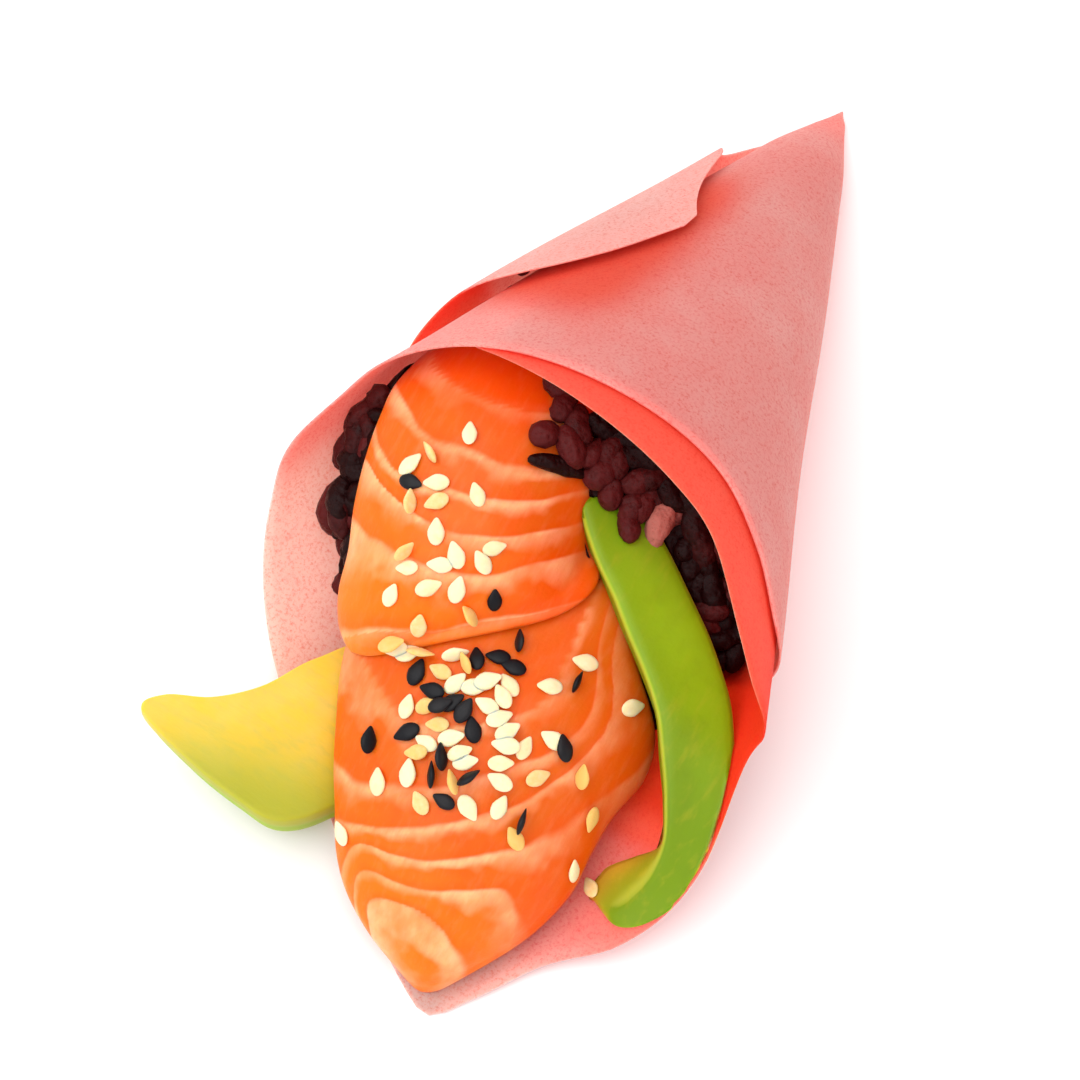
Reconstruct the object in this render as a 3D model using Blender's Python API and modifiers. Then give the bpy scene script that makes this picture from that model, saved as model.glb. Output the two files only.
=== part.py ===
"""Salmon hand roll lying on its side.

A sheet of pink soy paper is rolled twice into a cone around a heap of black
rice. Two slices of salmon with sesame seeds lie on the rice, and a slice of
avocado stands out of the mouth on either side of them.

Frame: the origin is on the paper's resting face, +Y runs along the roll to its
closed tip, +Z is up. Values are in metres, and lists marked mm in millimetres.
"""

import math
import random

import bmesh
import bpy
from mathutils import Matrix, Vector
from mathutils.bvhtree import BVHTree

MM = 0.001

# Driving dimensions of the cone
TIP_Y = 66 * MM
TIP_RADIUS = 1.0 * MM
TIP_HALF_HEIGHT = 0.5 * MM
SPREAD = 0.3465
RISE = 0.273
PAPER_THICKNESS = 0.4 * MM
LAYER_PITCH = 0.75 * MM
LAYERS_START = 12 * MM
SINGLE_LAYER = 0.25
BOTTOM_FLAT = 0.012
GAP = 0.45 * MM
WELD = 0.002 * MM
TOPPING_GAP = 0.4 * MM

# Turns are degrees around the roll, clockwise from its top as seen from the mouth side
# looking to the tip. The sheet starts under the front panel and ends in the loose flap.
FIRST_TURN = -35
LAST_TURN = 705
TURN_STEP = 10
ROWS = 7
INNER_BOTTOM = 180
OUTER_BOTTOM = 540

# (turn, distance from the tip in mm) along the mouth edge and along the tip edge
MOUTH_EDGE = [
    (-35, 71.8), (0, 74.8), (30, 78), (45, 81), (60, 89), (70, 92.5), (90, 93.5), (106, 95),
    (120, 106), (140, 117.4), (152, 123), (160, 130), (165, 134.2), (170, 132.5), (180, 126.3),
    (195, 117.2), (220, 105.5), (250, 93), (268, 87), (280, 79.5), (300, 76), (330, 72.2),
    (370, 71), (400, 72.6), (420, 77.6), (434, 83), (450, 84.5), (480, 85), (520, 84),
    (570, 80), (600, 74), (620, 68), (640, 61), (670, 56), (690, 49), (705, 39),
]
TIP_EDGE = [
    (-35, 14), (200, 9), (330, 4), (400, 2), (560, 3), (605, 8), (625, 15), (665, 19), (705, 36),
]

# Past the mouth the free sheet settles on the table and its sides lie more open
SETTLE_START = 88 * MM
SETTLE_LENGTH = 20 * MM
OPEN_START = 84 * MM
OPEN_LENGTH = 46 * MM
OPEN_FLATTEN_RIGHT = 0.50
OPEN_FLATTEN_LEFT = 0.15
OPEN_WIDEN = 0.08

# The loose end of the sheet stands off the roll, and comes back to it at the flap
LIFT_START_TURN = 575
LIFT_TURNS = 55
LIFT_HEIGHT = 2.4 * MM
LIFT_RETURN = 0.55
RIPPLE = 0.35 * MM

# Salmon slices: stations along each slice, mm.
# (centre x, centre y, crest z, width, drop of the left side, drop of the right side)
SLICE_ANGLE = 29
UPPER_SLICE = [
    (-14, 5, 29, 20, 3, 4),
    (-14.3, -3, 31, 24, 4, 5),
    (-13, -8, 31.8, 26, 5, 5),
    (-11.5, -13, 31.8, 27, 6, 5),
    (-9.5, -18, 31, 28, 7, 7),
    (-7, -22, 29.7, 30, 8, 9),
    (-5, -26, 28.2, 32, 8, 9),
    (-4.3, -30.2, 25.8, 29.5, 7, 6),
    (-5.3, -34, 22.8, 22.5, 5, 3),
    (-7, -36.4, 20.4, 14, 3, 2),
]
UPPER_THICKNESS = 7.5 * MM
LOWER_SLICE = [
    (-5, -18, 17.5, 22, 3, 4),
    (-3.5, -24, 19.8, 30, 5, 5),
    (0, -31, 20.8, 35.5, 6, 6),
    (4.3, -37, 20.6, 38.5, 7, 8),
    (7, -41.5, 19.6, 39, 7, 9),
    (8, -46, 18, 36, 6, 8),
    (9.3, -50.5, 16.2, 33, 6, 7),
    (11, -54.5, 14, 30, 5, 6),
    (12.2, -58.5, 11.5, 23.5, 4, 5),
    (12.8, -62.2, 8.8, 15.5, 3, 3),
    (12.4, -65.8, 5.8, 6.5, 1, 1),
]
LOWER_THICKNESS = 7.5 * MM

# Right avocado slice: green outer edge, mm.
# (centre x, y, z, width of the green edge, depth of the slice, lean of the depth to the left)
RIGHT_AVOCADO = [
    (2.5, -7.5, 25.5, 6, 6, 2),
    (8, -12.4, 24.2, 8, 7, 2.5),
    (14.4, -17, 22.4, 9.4, 8, 3),
    (20.3, -21.5, 20.4, 9.8, 8.5, 3.5),
    (25.3, -25.8, 18.6, 9.5, 9, 3),
    (28.8, -30.5, 16.6, 9.0, 9, 3),
    (30.9, -34.8, 14.6, 8.6, 8.5, 4),
    (31.7, -39.2, 12.2, 8.0, 7.5, 6),
    (30.9, -43.4, 9.5, 7.0, 6, 7),
    (28.6, -46.9, 7.0, 6.0, 4.5, 7.5),
    (26.6, -48.6, 5.5, 4.0, 3, 6),
]

# Left avocado slice: outline of its yellow face and the height of that face, mm
LEFT_AVOCADO = [
    (-33.5, -55.6, 12.5), (-31.6, -51.8, 13.2), (-26, -49.6, 13.2), (-21.3, -46.4, 12.8),
    (-17, -41, 11.8), (-12, -36.5, 9.5), (-4, -45, 7.5), (-8, -54.5, 8), (-12.2, -59, 9.3),
    (-17.5, -59.2, 10.5), (-24.5, -58.2, 12),
]
LEFT_AVOCADO_THICKNESS = 5.5 * MM

# Rice heap: the sloping top of its core, mm
RICE_BACK_Y = 30 * MM
RICE_FRONT_Y = -47 * MM
RICE_CREST_X = -8 * MM
RICE_CREST_Z = 35.5 * MM
RICE_SIDE_FALL = 0.38
RICE_MARGIN = 1.1 * MM
# The heap leaves the left panel bare towards the front
RICE_LEFT_START = -8 * MM
RICE_LEFT_TAPER = 0.47 / (28 * MM) ** 1.5
RICE_BOTTOM_Z = 1.6 * MM
RICE_STEPS = 13
RICE_SIDES = 20
RICE_FRONT_FALL = 0.52
GRAIN_LENGTH = 6.0 * MM
GRAIN_WIDTH = 2.7 * MM
# Where grains show: (x from, x to, y from, y to in mm, grains)
GRAIN_PATCHES = [(1, 31, -24, 0, 32), (-33, -14, -36, -10, 16)]

# Sesame: (x, y, spread in mm, white seeds, black seeds) of each sprinkled group
SEED_LENGTH = 3.1 * MM
SEED_GROUPS = [
    (-11.8, -14.9, 3.0, 2, 0),
    (-10.7, -19.5, 3.6, 5, 1),
    (-5.9, -26.2, 4.6, 10, 1),
    (-7.1, -39.5, 2.2, 4, 1),
    (2.7, -35.1, 3.6, 8, 4),
    (1.5, -40.9, 3.8, 8, 6),
    (7.9, -41.8, 3.6, 7, 2),
    (3.7, -45.4, 3.4, 5, 2),
    (8.0, -47.8, 3.6, 4, 2),
    (10.9, -30.4, 3.4, 3, 1),
    (13.7, -36.8, 3.4, 3, 1),
    (20.3, -46.5, 2.2, 3, 0),
    (-4.3, -49.0, 3.0, 2, 1),
]


def material(name, colour, roughness):
    result = bpy.data.materials.new(name)
    result.use_nodes = True
    shader = result.node_tree.nodes["Principled BSDF"]
    shader.inputs["Base Color"].default_value = (*colour, 1)
    shader.inputs["Roughness"].default_value = roughness
    shader.inputs["Metallic"].default_value = 0
    return result


def add_object(name, mesh, collection, look=None):
    item = bpy.data.objects.new(name, mesh)
    collection.objects.link(item)
    if look:
        mesh.materials.append(look)
    return item


def mesh_from(form, name):
    mesh = bpy.data.meshes.new(name)
    bmesh.ops.recalc_face_normals(form, faces=form.faces)
    if form.calc_volume(signed=True) < 0:
        bmesh.ops.reverse_faces(form, faces=form.faces)
    form.to_mesh(mesh)
    form.free()
    mesh.shade_smooth()
    return mesh


def apply_modifiers(item):
    graph = bpy.context.evaluated_depsgraph_get()
    graph.update()
    baked = bpy.data.meshes.new_from_object(item.evaluated_get(graph))
    item.modifiers.clear()
    item.data = baked
    return item


def smooth(value):
    value = min(max(value, 0), 1)
    return value * value * (3 - 2 * value)


def along(table, turn):
    """Read a table of (turn, mm) with a smooth curve through its points."""
    last = len(table) - 1
    index = 0
    while index < last - 1 and turn > table[index + 1][0]:
        index += 1
    (t0, v0), (t1, v1) = table[index], table[index + 1]
    before = table[max(index - 1, 0)]
    after = table[min(index + 2, last)]
    span = t1 - t0
    slope0 = (v1 - before[1]) / (t1 - before[0]) * span
    slope1 = (after[1] - v0) / (after[0] - t0) * span
    s = min(max((turn - t0) / span, 0), 1)
    value = (2 * s**3 - 3 * s**2 + 1) * v0 + (s**3 - 2 * s**2 + s) * slope0
    value += (3 * s**2 - 2 * s**3) * v1 + (s**3 - s**2) * slope1
    return value * MM


def layer_offset(turn, reach):
    """How far a turn of the sheet is from the innermost one. The tip is a single layer."""
    spread = SINGLE_LAYER + (1 - SINGLE_LAYER) * smooth(reach / LAYERS_START)
    return spread * LAYER_PITCH * (turn - FIRST_TURN) / 360


def lowest_level(turn, reach):
    """Height of the middle of the sheet where the roll is flat underneath."""
    under = layer_offset(OUTER_BOTTOM, reach) - layer_offset(INNER_BOTTOM, reach)
    return PAPER_THICKNESS / 2 + (under if turn < 360 else 0)


def sheet_point(turn, reach):
    """Middle of the sheet at a turn around the roll and a distance from the tip."""
    angle = math.radians(turn)
    offset = layer_offset(turn, reach)
    outer_bottom = layer_offset(OUTER_BOTTOM, reach)
    ripple = RIPPLE * smooth(reach / TIP_Y) * math.sin(3 * angle + reach / (9 * MM))
    lift = LIFT_HEIGHT * smooth((turn - LIFT_START_TURN) / LIFT_TURNS)
    lift *= 1 - LIFT_RETURN * smooth((turn - LIFT_START_TURN - LIFT_TURNS) / LIFT_TURNS)
    half_width = SPREAD * reach + TIP_RADIUS + offset + lift + ripple
    half_height = RISE * reach + TIP_HALF_HEIGHT + offset + lift + ripple
    middle = (RISE - BOTTOM_FLAT) * reach + TIP_HALF_HEIGHT + outer_bottom + PAPER_THICKNESS / 2
    x = half_width * math.sin(angle)
    z = max(middle + half_height * math.cos(angle), lowest_level(turn, reach))
    settle = LAYER_PITCH * smooth((reach - SETTLE_START) / SETTLE_LENGTH)
    z = max(z - settle, PAPER_THICKNESS / 2)
    opening = smooth((reach - OPEN_START) / OPEN_LENGTH)
    side = 0.5 + 0.5 * math.sin(angle)
    flatten = opening * (OPEN_FLATTEN_LEFT + (OPEN_FLATTEN_RIGHT - OPEN_FLATTEN_LEFT) * side)
    base = PAPER_THICKNESS / 2
    return Vector((x * (1 + OPEN_WIDEN * opening), TIP_Y - reach, base + (z - base) * (1 - flatten)))


def sheet_form(first, last):
    """Open sheet between two turns, with its faces looking into the roll."""
    form = bmesh.new()
    columns = []
    for turn in range(first, last + 1, TURN_STEP):
        near = along(TIP_EDGE, turn)
        far = along(MOUTH_EDGE, turn)
        reaches = [near + (far - near) * row / ROWS for row in range(ROWS + 1)]
        columns.append([form.verts.new(sheet_point(turn, reach)) for reach in reaches])
    for left, right in zip(columns, columns[1:]):
        for row in range(ROWS):
            form.faces.new((left[row], left[row + 1], right[row + 1], right[row]))
    return form


def make_paper(collection):
    form = sheet_form(FIRST_TURN, LAST_TURN)
    mesh = bpy.data.meshes.new("soy_paper_wrapper")
    form.to_mesh(mesh)
    form.free()
    mesh.shade_smooth()
    look = material("soy_paper_pink", (0.94, 0.36, 0.30), 0.75)
    paper = add_object("soy_paper_wrapper", mesh, collection, look)
    solid = paper.modifiers.new("Thickness", "SOLIDIFY")
    solid.thickness = PAPER_THICKNESS
    solid.offset = 0
    solid.use_even_offset = True
    return paper


def inner_wall():
    """Tree of the first turn, which the filling touches."""
    form = sheet_form(FIRST_TURN, FIRST_TURN + 360)
    form.normal_update()
    tree = BVHTree.FromBMesh(form)
    form.free()
    return tree


def keep_inside(mesh, wall):
    """Move vertices that reach the paper back to a small gap inside it."""
    clear = PAPER_THICKNESS / 2 + GAP
    for vertex in mesh.vertices:
        spot, normal, face, distance = wall.find_nearest(vertex.co)
        inward = inward_normal(spot, normal)
        depth = (vertex.co - spot).dot(inward)
        beside = ((vertex.co - spot) - inward * depth).length
        if depth < clear and beside < 0.5 * MM:
            vertex.co = spot + inward * clear
        vertex.co.z = max(vertex.co.z, PAPER_THICKNESS + GAP)


def inward_normal(spot, normal):
    axis = Vector((0, spot.y, RISE * (TIP_Y - spot.y)))
    return normal if (axis - spot).dot(normal) > 0 else -normal


def loft(rings, name):
    """Closed skin over rings of equal point counts, with a face on each end."""
    form = bmesh.new()
    loops = [[form.verts.new(point) for point in ring] for ring in rings]
    for left, right in zip(loops, loops[1:]):
        for index in range(len(left)):
            after = (index + 1) % len(left)
            form.faces.new((left[index], left[after], right[after], right[index]))
    form.faces.new(loops[0])
    form.faces.new(reversed(loops[-1]))
    return mesh_from(form, name)


def slice_rings(stations, thickness):
    """Sections of a draped slice, each across the slice's run."""
    turn = math.radians(SLICE_ANGLE)
    across = Vector((math.cos(turn), math.sin(turn), 0))
    rings = []
    for x, y, crest, width, left_drop, right_drop in stations:
        top = []
        bottom = []
        for step in (-1, -0.72, -0.36, 0, 0.36, 0.72, 1):
            drop = (left_drop if step < 0 else right_drop) * abs(step) ** 2
            spot = Vector((x, y, crest - drop)) * MM + across * (step * width / 2 * MM)
            depth = thickness * (1 - 0.35 * step * step)
            top.append(spot)
            bottom.append(spot - Vector((0, 0, depth)))
        rings.append(top + bottom[::-1])
    return rings


def make_slice(name, stations, thickness, wall, look, collection):
    item = add_object(name, loft(slice_rings(stations, thickness), name), collection, look)
    curve = item.modifiers.new("Soft form", "SUBSURF")
    curve.levels = 1
    curve.render_levels = 1
    apply_modifiers(item)
    keep_inside(item.data, wall)
    return item


def grown_cutter(item, margin, cutters):
    """Copy of a piece, thicker all round by a margin, that cuts its neighbours."""
    cutter = bpy.data.objects.new(item.name + "_cutter", item.data.copy())
    cutters.objects.link(cutter)
    cutter.hide_render = True
    cutter.display_type = "WIRE"
    grow = cutter.modifiers.new("Grow", "DISPLACE")
    grow.strength = margin
    grow.mid_level = 0
    return cutter


def cut(item, cutter):
    knife = item.modifiers.new("Cut", "BOOLEAN")
    knife.operation = "DIFFERENCE"
    knife.object = cutter
    knife.solver = "MANIFOLD"
    apply_modifiers(item)
    keep_largest(item.data)


def keep_largest(mesh):
    """Weld hairline cracks, then drop the scraps and sealed hollows of a cut or a union."""
    form = bmesh.new()
    form.from_mesh(mesh)
    bmesh.ops.remove_doubles(form, verts=form.verts, dist=WELD)
    left = set(form.faces)
    pieces = []
    while left:
        piece = [left.pop()]
        for face in piece:
            for edge in face.edges:
                beside = [other for other in edge.link_faces if other in left]
                if len(edge.link_faces) == 2 and beside:
                    left.remove(beside[0])
                    piece.append(beside[0])
        pieces.append(piece)
    pieces.sort(key=len)
    for piece in pieces[:-1]:
        bmesh.ops.delete(form, geom=piece, context="FACES")
    form.to_mesh(mesh)
    form.free()


def avocado_right_rings():
    rings = []
    count = len(RIGHT_AVOCADO)
    for index, (x, y, z, width, depth, lean) in enumerate(RIGHT_AVOCADO):
        before = RIGHT_AVOCADO[max(index - 1, 0)]
        after = RIGHT_AVOCADO[min(index + 1, count - 1)]
        run = Vector((after[0] - before[0], after[1] - before[1], after[2] - before[2])).normalized()
        across = run.cross(Vector((0.3, 0, 1))).normalized()
        if across.x < 0:
            across = -across
        middle = Vector((x, y, z)) * MM
        half = across * width / 2 * MM
        inward = Vector((-lean, 0, -depth)) * MM
        crown = Vector((0.15, 0, 0.5)) * MM
        left = middle - half
        right = middle + half
        rings.append([
            left, middle + crown, right,
            right + inward * 0.55 - half * 0.05, right + inward - half * 0.55,
            left + inward + half * 0.25, left + inward * 0.5,
        ])
    return rings


def make_right_avocado(wall, collection):
    look = material("avocado_green", (0.30, 0.42, 0.02), 0.45)
    skin = loft(avocado_right_rings(), "avocado_slice_right")
    item = add_object("avocado_slice_right", skin, collection, look)
    curve = item.modifiers.new("Soft form", "SUBSURF")
    curve.levels = 1
    curve.render_levels = 1
    apply_modifiers(item)
    keep_inside(item.data, wall)
    return item


def make_left_avocado(wall, collection):
    """Flat wedge: its outline, raised to the yellow face and let down by its thickness."""
    top = [Vector(point) * MM for point in LEFT_AVOCADO]
    middle = sum(top, Vector()) / len(top)
    rings = []
    for level, inset in ((0, 0.18), (0.12, 0.02), (0.55, 0), (1, 0.16)):
        drop = Vector((0, 0, -LEFT_AVOCADO_THICKNESS * level))
        rings.append([point.lerp(middle, inset) + drop for point in top])
    look = material("avocado_yellow", (0.86, 0.62, 0.10), 0.5)
    item = add_object("avocado_slice_left", loft(rings, "avocado_slice_left"), collection, look)
    curve = item.modifiers.new("Soft form", "SUBSURF")
    curve.levels = 1
    curve.render_levels = 1
    apply_modifiers(item)
    keep_inside(item.data, wall)
    return item


def make_rice_core(collection):
    """Heap that fills the cone behind the slices and slopes down in front."""
    rings = []
    for index in range(RICE_STEPS + 1):
        y = RICE_BACK_Y + (RICE_FRONT_Y - RICE_BACK_Y) * index / RICE_STEPS
        reach = TIP_Y - y
        toe = math.sqrt(max(1 - max(2 * index / RICE_STEPS - 1, 0) ** 4, 0.1))
        half_width = (SPREAD * reach + TIP_RADIUS - RICE_MARGIN) * toe
        bare = RICE_LEFT_TAPER * max(RICE_LEFT_START - y, 0) ** 1.5
        half_height = RISE * reach + TIP_HALF_HEIGHT - RICE_MARGIN
        middle = (RISE - BOTTOM_FLAT) * reach + TIP_HALF_HEIGHT + layer_offset(OUTER_BOTTOM, reach)
        ring = []
        for side in range(RICE_SIDES):
            angle = 2 * math.pi * (side + 0.5) / RICE_SIDES
            x = half_width * math.sin(angle)
            x *= 1 - bare if x < 0 else 1
            z = middle + half_height * math.cos(angle)
            slope = RICE_CREST_Z + RICE_FRONT_FALL * y - RICE_SIDE_FALL * abs(x - RICE_CREST_X)
            z = max(min(z, slope * toe), RICE_BOTTOM_Z)
            room = half_width * math.sqrt(max(1 - ((z - middle) / half_height) ** 2, 0.01))
            ring.append(Vector((min(max(x, -room), room), y, z)))
        rings.append(ring)
    look = material("black_rice", (0.028, 0.006, 0.006), 0.4)
    return add_object("black_rice_heap", loft(rings, "black_rice_heap"), collection, look)


def grain_mesh(name, length, width, segments, point_end):
    """Small rounded grain along X, with one end more pointed."""
    form = bmesh.new()
    bmesh.ops.create_uvsphere(form, u_segments=segments, v_segments=4, radius=0.5)
    bmesh.ops.rotate(form, cent=(0, 0, 0), matrix=Matrix.Rotation(math.pi / 2, 3, "Y"), verts=form.verts)
    for vertex in form.verts:
        taper = 1 - point_end * (vertex.co.x + 0.5)
        vertex.co = Vector((vertex.co.x * length, vertex.co.y * width * taper, vertex.co.z * width * taper))
    return mesh_from(form, name)


def tree_of(item):
    form = bmesh.new()
    form.from_mesh(item.data)
    tree = BVHTree.FromBMesh(form)
    form.free()
    return tree


def fuse(item, toppings):
    """One Boolean union of a collection of toppings onto their base."""
    group = bpy.data.collections.new(item.name + "_toppings")
    bpy.context.scene.collection.children.link(group)
    for topping in toppings:
        group.objects.link(topping)
    join = item.modifiers.new("Fuse", "BOOLEAN")
    join.operation = "UNION"
    join.operand_type = "COLLECTION"
    join.collection = group
    join.solver = "MANIFOLD"
    apply_modifiers(item)
    for topping in list(group.objects):
        bpy.data.objects.remove(topping)
    bpy.data.collections.remove(group)
    keep_largest(item.data)


def stands_clear(mesh, placing, wall, solids, margin):
    """Whether a placed topping is inside the paper and outside the other pieces."""
    for vertex in mesh.vertices:
        point = placing @ vertex.co
        spot, normal, face, distance = wall.find_nearest(point)
        if distance < margin + PAPER_THICKNESS / 2 or (point - spot).dot(inward_normal(spot, normal)) < 0:
            return False
        for solid in solids:
            spot, normal, face, distance = solid.find_nearest(point)
            if distance < margin or (point - spot).dot(normal) < 0:
                return False
    return True


def aligned(spot, normal, heading, lift):
    """Placing with Z on a surface normal and X turned by a heading."""
    up = normal.normalized()
    ahead = Vector((math.cos(heading), math.sin(heading), 0))
    ahead = (ahead - up * ahead.dot(up)).normalized()
    side = up.cross(ahead)
    turn = Matrix((ahead, side, up)).transposed().to_4x4()
    return Matrix.Translation(spot + up * lift) @ turn


def add_grains(rice, wall, neighbours, chance):
    """Visible grains, where the heap shows beside the slices."""
    core = tree_of(rice)
    grain = grain_mesh("grain", GRAIN_LENGTH, GRAIN_WIDTH, 5, 0.15)
    placed = []
    toppings = []
    for x0, x1, y0, y1, count in GRAIN_PATCHES:
        found = 0
        for attempt in range(4000):
            if found == count:
                break
            x = chance.uniform(x0, x1) * MM
            y = chance.uniform(y0, y1) * MM
            spot, normal, face, distance = core.ray_cast(Vector((x, y, 60 * MM)), Vector((0, 0, -1)))
            if spot is None or normal.z < 0.15:
                continue
            if any((spot - other).length < 2.6 * MM for other in placed):
                continue
            placing = aligned(spot, normal, chance.uniform(0, math.tau), 0.55 * MM)
            placing = placing @ Matrix.Rotation(chance.uniform(-0.45, 0.45), 4, "Y")
            if not stands_clear(grain, placing, wall, neighbours, TOPPING_GAP):
                continue
            piece = bpy.data.objects.new(f"grain_{len(toppings)}", grain.copy())
            piece.data.transform(placing)
            toppings.append(piece)
            placed.append(spot)
            found += 1
    fuse(rice, toppings)


def add_seeds(slices, wall, neighbours, chance):
    """Sesame seeds in their groups, each fused onto the slice that it lies on."""
    seed = grain_mesh("seed", SEED_LENGTH, 1.9 * MM, 5, 0.25)
    for vertex in seed.vertices:
        vertex.co.z *= 0.5
    trees = [tree_of(item) for item in slices]
    toppings = {item.name: [] for item in slices}
    placed = []
    for x, y, spread, white, black in SEED_GROUPS:
        found = 0
        for attempt in range(400):
            if found == white + black:
                break
            angle = chance.uniform(0, math.tau)
            away = spread * math.sqrt(chance.random())
            start = Vector((x + away * math.cos(angle), y + away * math.sin(angle), 60)) * MM
            hits = [tree.ray_cast(start, Vector((0, 0, -1))) for tree in trees]
            hits = [(hit[0].z, index, hit) for index, hit in enumerate(hits) if hit[0] is not None]
            if not hits:
                continue
            height, index, (spot, normal, face, distance) = max(hits)
            if normal.z < 0.3 or any((spot - other).length < 2.0 * MM for other in placed):
                continue
            placing = aligned(spot, normal, chance.uniform(0, math.tau), 0.22 * MM)
            others = neighbours + [tree for number, tree in enumerate(trees) if number != index]
            if not stands_clear(seed, placing, wall, others, TOPPING_GAP):
                continue
            piece = bpy.data.objects.new(f"seed_{len(placed)}", seed.copy())
            piece.data.transform(placing)
            toppings[slices[index].name].append(piece)
            placed.append(spot)
            found += 1
    for item in slices:
        fuse(item, toppings[item.name])


def main():
    for old in list(bpy.data.objects):
        bpy.data.objects.remove(old)
    scene = bpy.context.scene
    parts = bpy.data.collections.new("salmon_hand_roll")
    cutters = bpy.data.collections.new("cutters")
    scene.collection.children.link(parts)
    scene.collection.children.link(cutters)
    wall = inner_wall()
    make_paper(parts)
    flesh = material("salmon_flesh", (0.90, 0.25, 0.06), 0.35)
    lower = make_slice("salmon_slice_lower", LOWER_SLICE, LOWER_THICKNESS, wall, flesh, parts)
    upper = make_slice("salmon_slice_upper", UPPER_SLICE, UPPER_THICKNESS, wall, flesh, parts)
    right = make_right_avocado(wall, parts)
    left = make_left_avocado(wall, parts)
    lower_cutter = grown_cutter(lower, GAP, cutters)
    cut(upper, lower_cutter)
    cut(right, lower_cutter)
    cut(left, lower_cutter)
    upper_cutter = grown_cutter(upper, GAP, cutters)
    cut(right, upper_cutter)
    rice = make_rice_core(parts)
    for cutter in (lower_cutter, upper_cutter):
        cut(rice, cutter)
    for item in (right, left):
        cut(rice, grown_cutter(item, GAP, cutters))
    chance = random.Random(7)
    pieces = [tree_of(item) for item in (lower, upper, right, left)]
    add_grains(rice, wall, pieces, chance)
    add_seeds([lower, upper], wall, [tree_of(rice), tree_of(right), tree_of(left)], chance)


main()
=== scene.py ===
"""Salmon hand roll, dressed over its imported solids.

A cone of pink soy paper lies on its side around black rice, with two slices of
salmon, sesame seeds and two slices of avocado. Every form below keeps near the solid
that it stands for, with finer steps, real grains and finishes. Lengths in tables are
millimetres.
"""

import math
import random

import bmesh
import bpy
from bpy.props import FloatProperty, FloatVectorProperty, IntProperty, PointerProperty
from mathutils import Matrix, Vector, noise
from mathutils.bvhtree import BVHTree


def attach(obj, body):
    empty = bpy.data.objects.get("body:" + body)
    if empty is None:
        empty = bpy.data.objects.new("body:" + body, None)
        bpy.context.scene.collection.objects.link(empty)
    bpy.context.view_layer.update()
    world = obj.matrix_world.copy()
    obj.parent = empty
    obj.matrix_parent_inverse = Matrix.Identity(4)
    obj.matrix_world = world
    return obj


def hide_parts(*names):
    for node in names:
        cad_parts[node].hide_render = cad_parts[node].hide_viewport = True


bl_info = {
    "name": "Salmon Hand Roll",
    "version": (1, 0, 0),
    "blender": (4, 5, 0),
    "location": "3D View > Sidebar > Hand Roll",
    "description": "Builds a salmon hand roll in pink soy paper, with its finishes and its stage",
    "category": "Object",
}

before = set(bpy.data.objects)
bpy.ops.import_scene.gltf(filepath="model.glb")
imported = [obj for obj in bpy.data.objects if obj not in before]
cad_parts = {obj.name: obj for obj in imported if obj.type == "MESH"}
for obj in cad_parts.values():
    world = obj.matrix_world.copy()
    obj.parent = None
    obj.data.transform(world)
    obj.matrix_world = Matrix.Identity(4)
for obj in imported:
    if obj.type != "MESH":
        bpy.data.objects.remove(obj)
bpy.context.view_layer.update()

MM = 0.001

# The roll: a cone that narrows to TIP_Y, wound twice. Turns are degrees from its top.
TIP_Y = 66 * MM
TIP_RADIUS = 1.0 * MM
TIP_HALF_HEIGHT = 0.5 * MM
SPREAD = 0.3465
RISE = 0.273
WALL = 0.4 * MM
LAYER_PITCH = 0.75 * MM
LAYERS_START = 12 * MM
SINGLE_LAYER = 0.25
BOTTOM_FLAT = 0.012
FIRST_TURN = -35
LAST_TURN = 705
INNER_BOTTOM = 180
OUTER_BOTTOM = 540
MOUTH_EDGE = [
    (-35, 71.8), (0, 74.8), (30, 78), (45, 81), (60, 89), (70, 92.5), (90, 93.5), (106, 95),
    (120, 106), (140, 117.4), (152, 123), (160, 130), (165, 134.2), (170, 132.5), (180, 126.3),
    (195, 117.2), (220, 105.5), (250, 93), (268, 87), (280, 79.5), (300, 76), (330, 72.2),
    (370, 71), (400, 72.6), (420, 77.6), (434, 83), (450, 84.5), (480, 85), (520, 84),
    (570, 80), (600, 74), (620, 68), (640, 61), (670, 56), (690, 49), (705, 39),
]
TIP_EDGE = [
    (-35, 14), (200, 9), (300, 3), (335, -0.2), (355, -1.6), (380, -1.6), (405, -0.4),
    (440, 0.6), (470, 1.8), (560, 3), (605, 8), (625, 15), (665, 19), (705, 36),
]
# Painted light and shade of the sheet by turn: above 0 it is painted paler, as light through a single
# bare layer; below 0 it is painted deeper, as shade where it lies on the rice
LIGHT_AND_SHADE = [
    (-35, -0.85), (60, -0.9), (120, -0.6), (150, -0.3), (185, 0.3), (225, 0.9), (248, 0.8),
    (268, 0.05), (300, 0.1), (360, 0), (580, 0), (660, 0.3), (705, 0.3),
]
SETTLE_START = 88 * MM
SETTLE_LENGTH = 20 * MM
OPEN_START = 84 * MM
OPEN_LENGTH = 46 * MM
OPEN_FLATTEN_RIGHT = 0.50
OPEN_FLATTEN_LEFT = 0.15
OPEN_WIDEN = 0.08
LIFT_START_TURN = 575
LIFT_TURNS = 55
LIFT_HEIGHT = 2.4 * MM
LIFT_RETURN = 0.55
RIPPLE = 0.35 * MM

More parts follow.
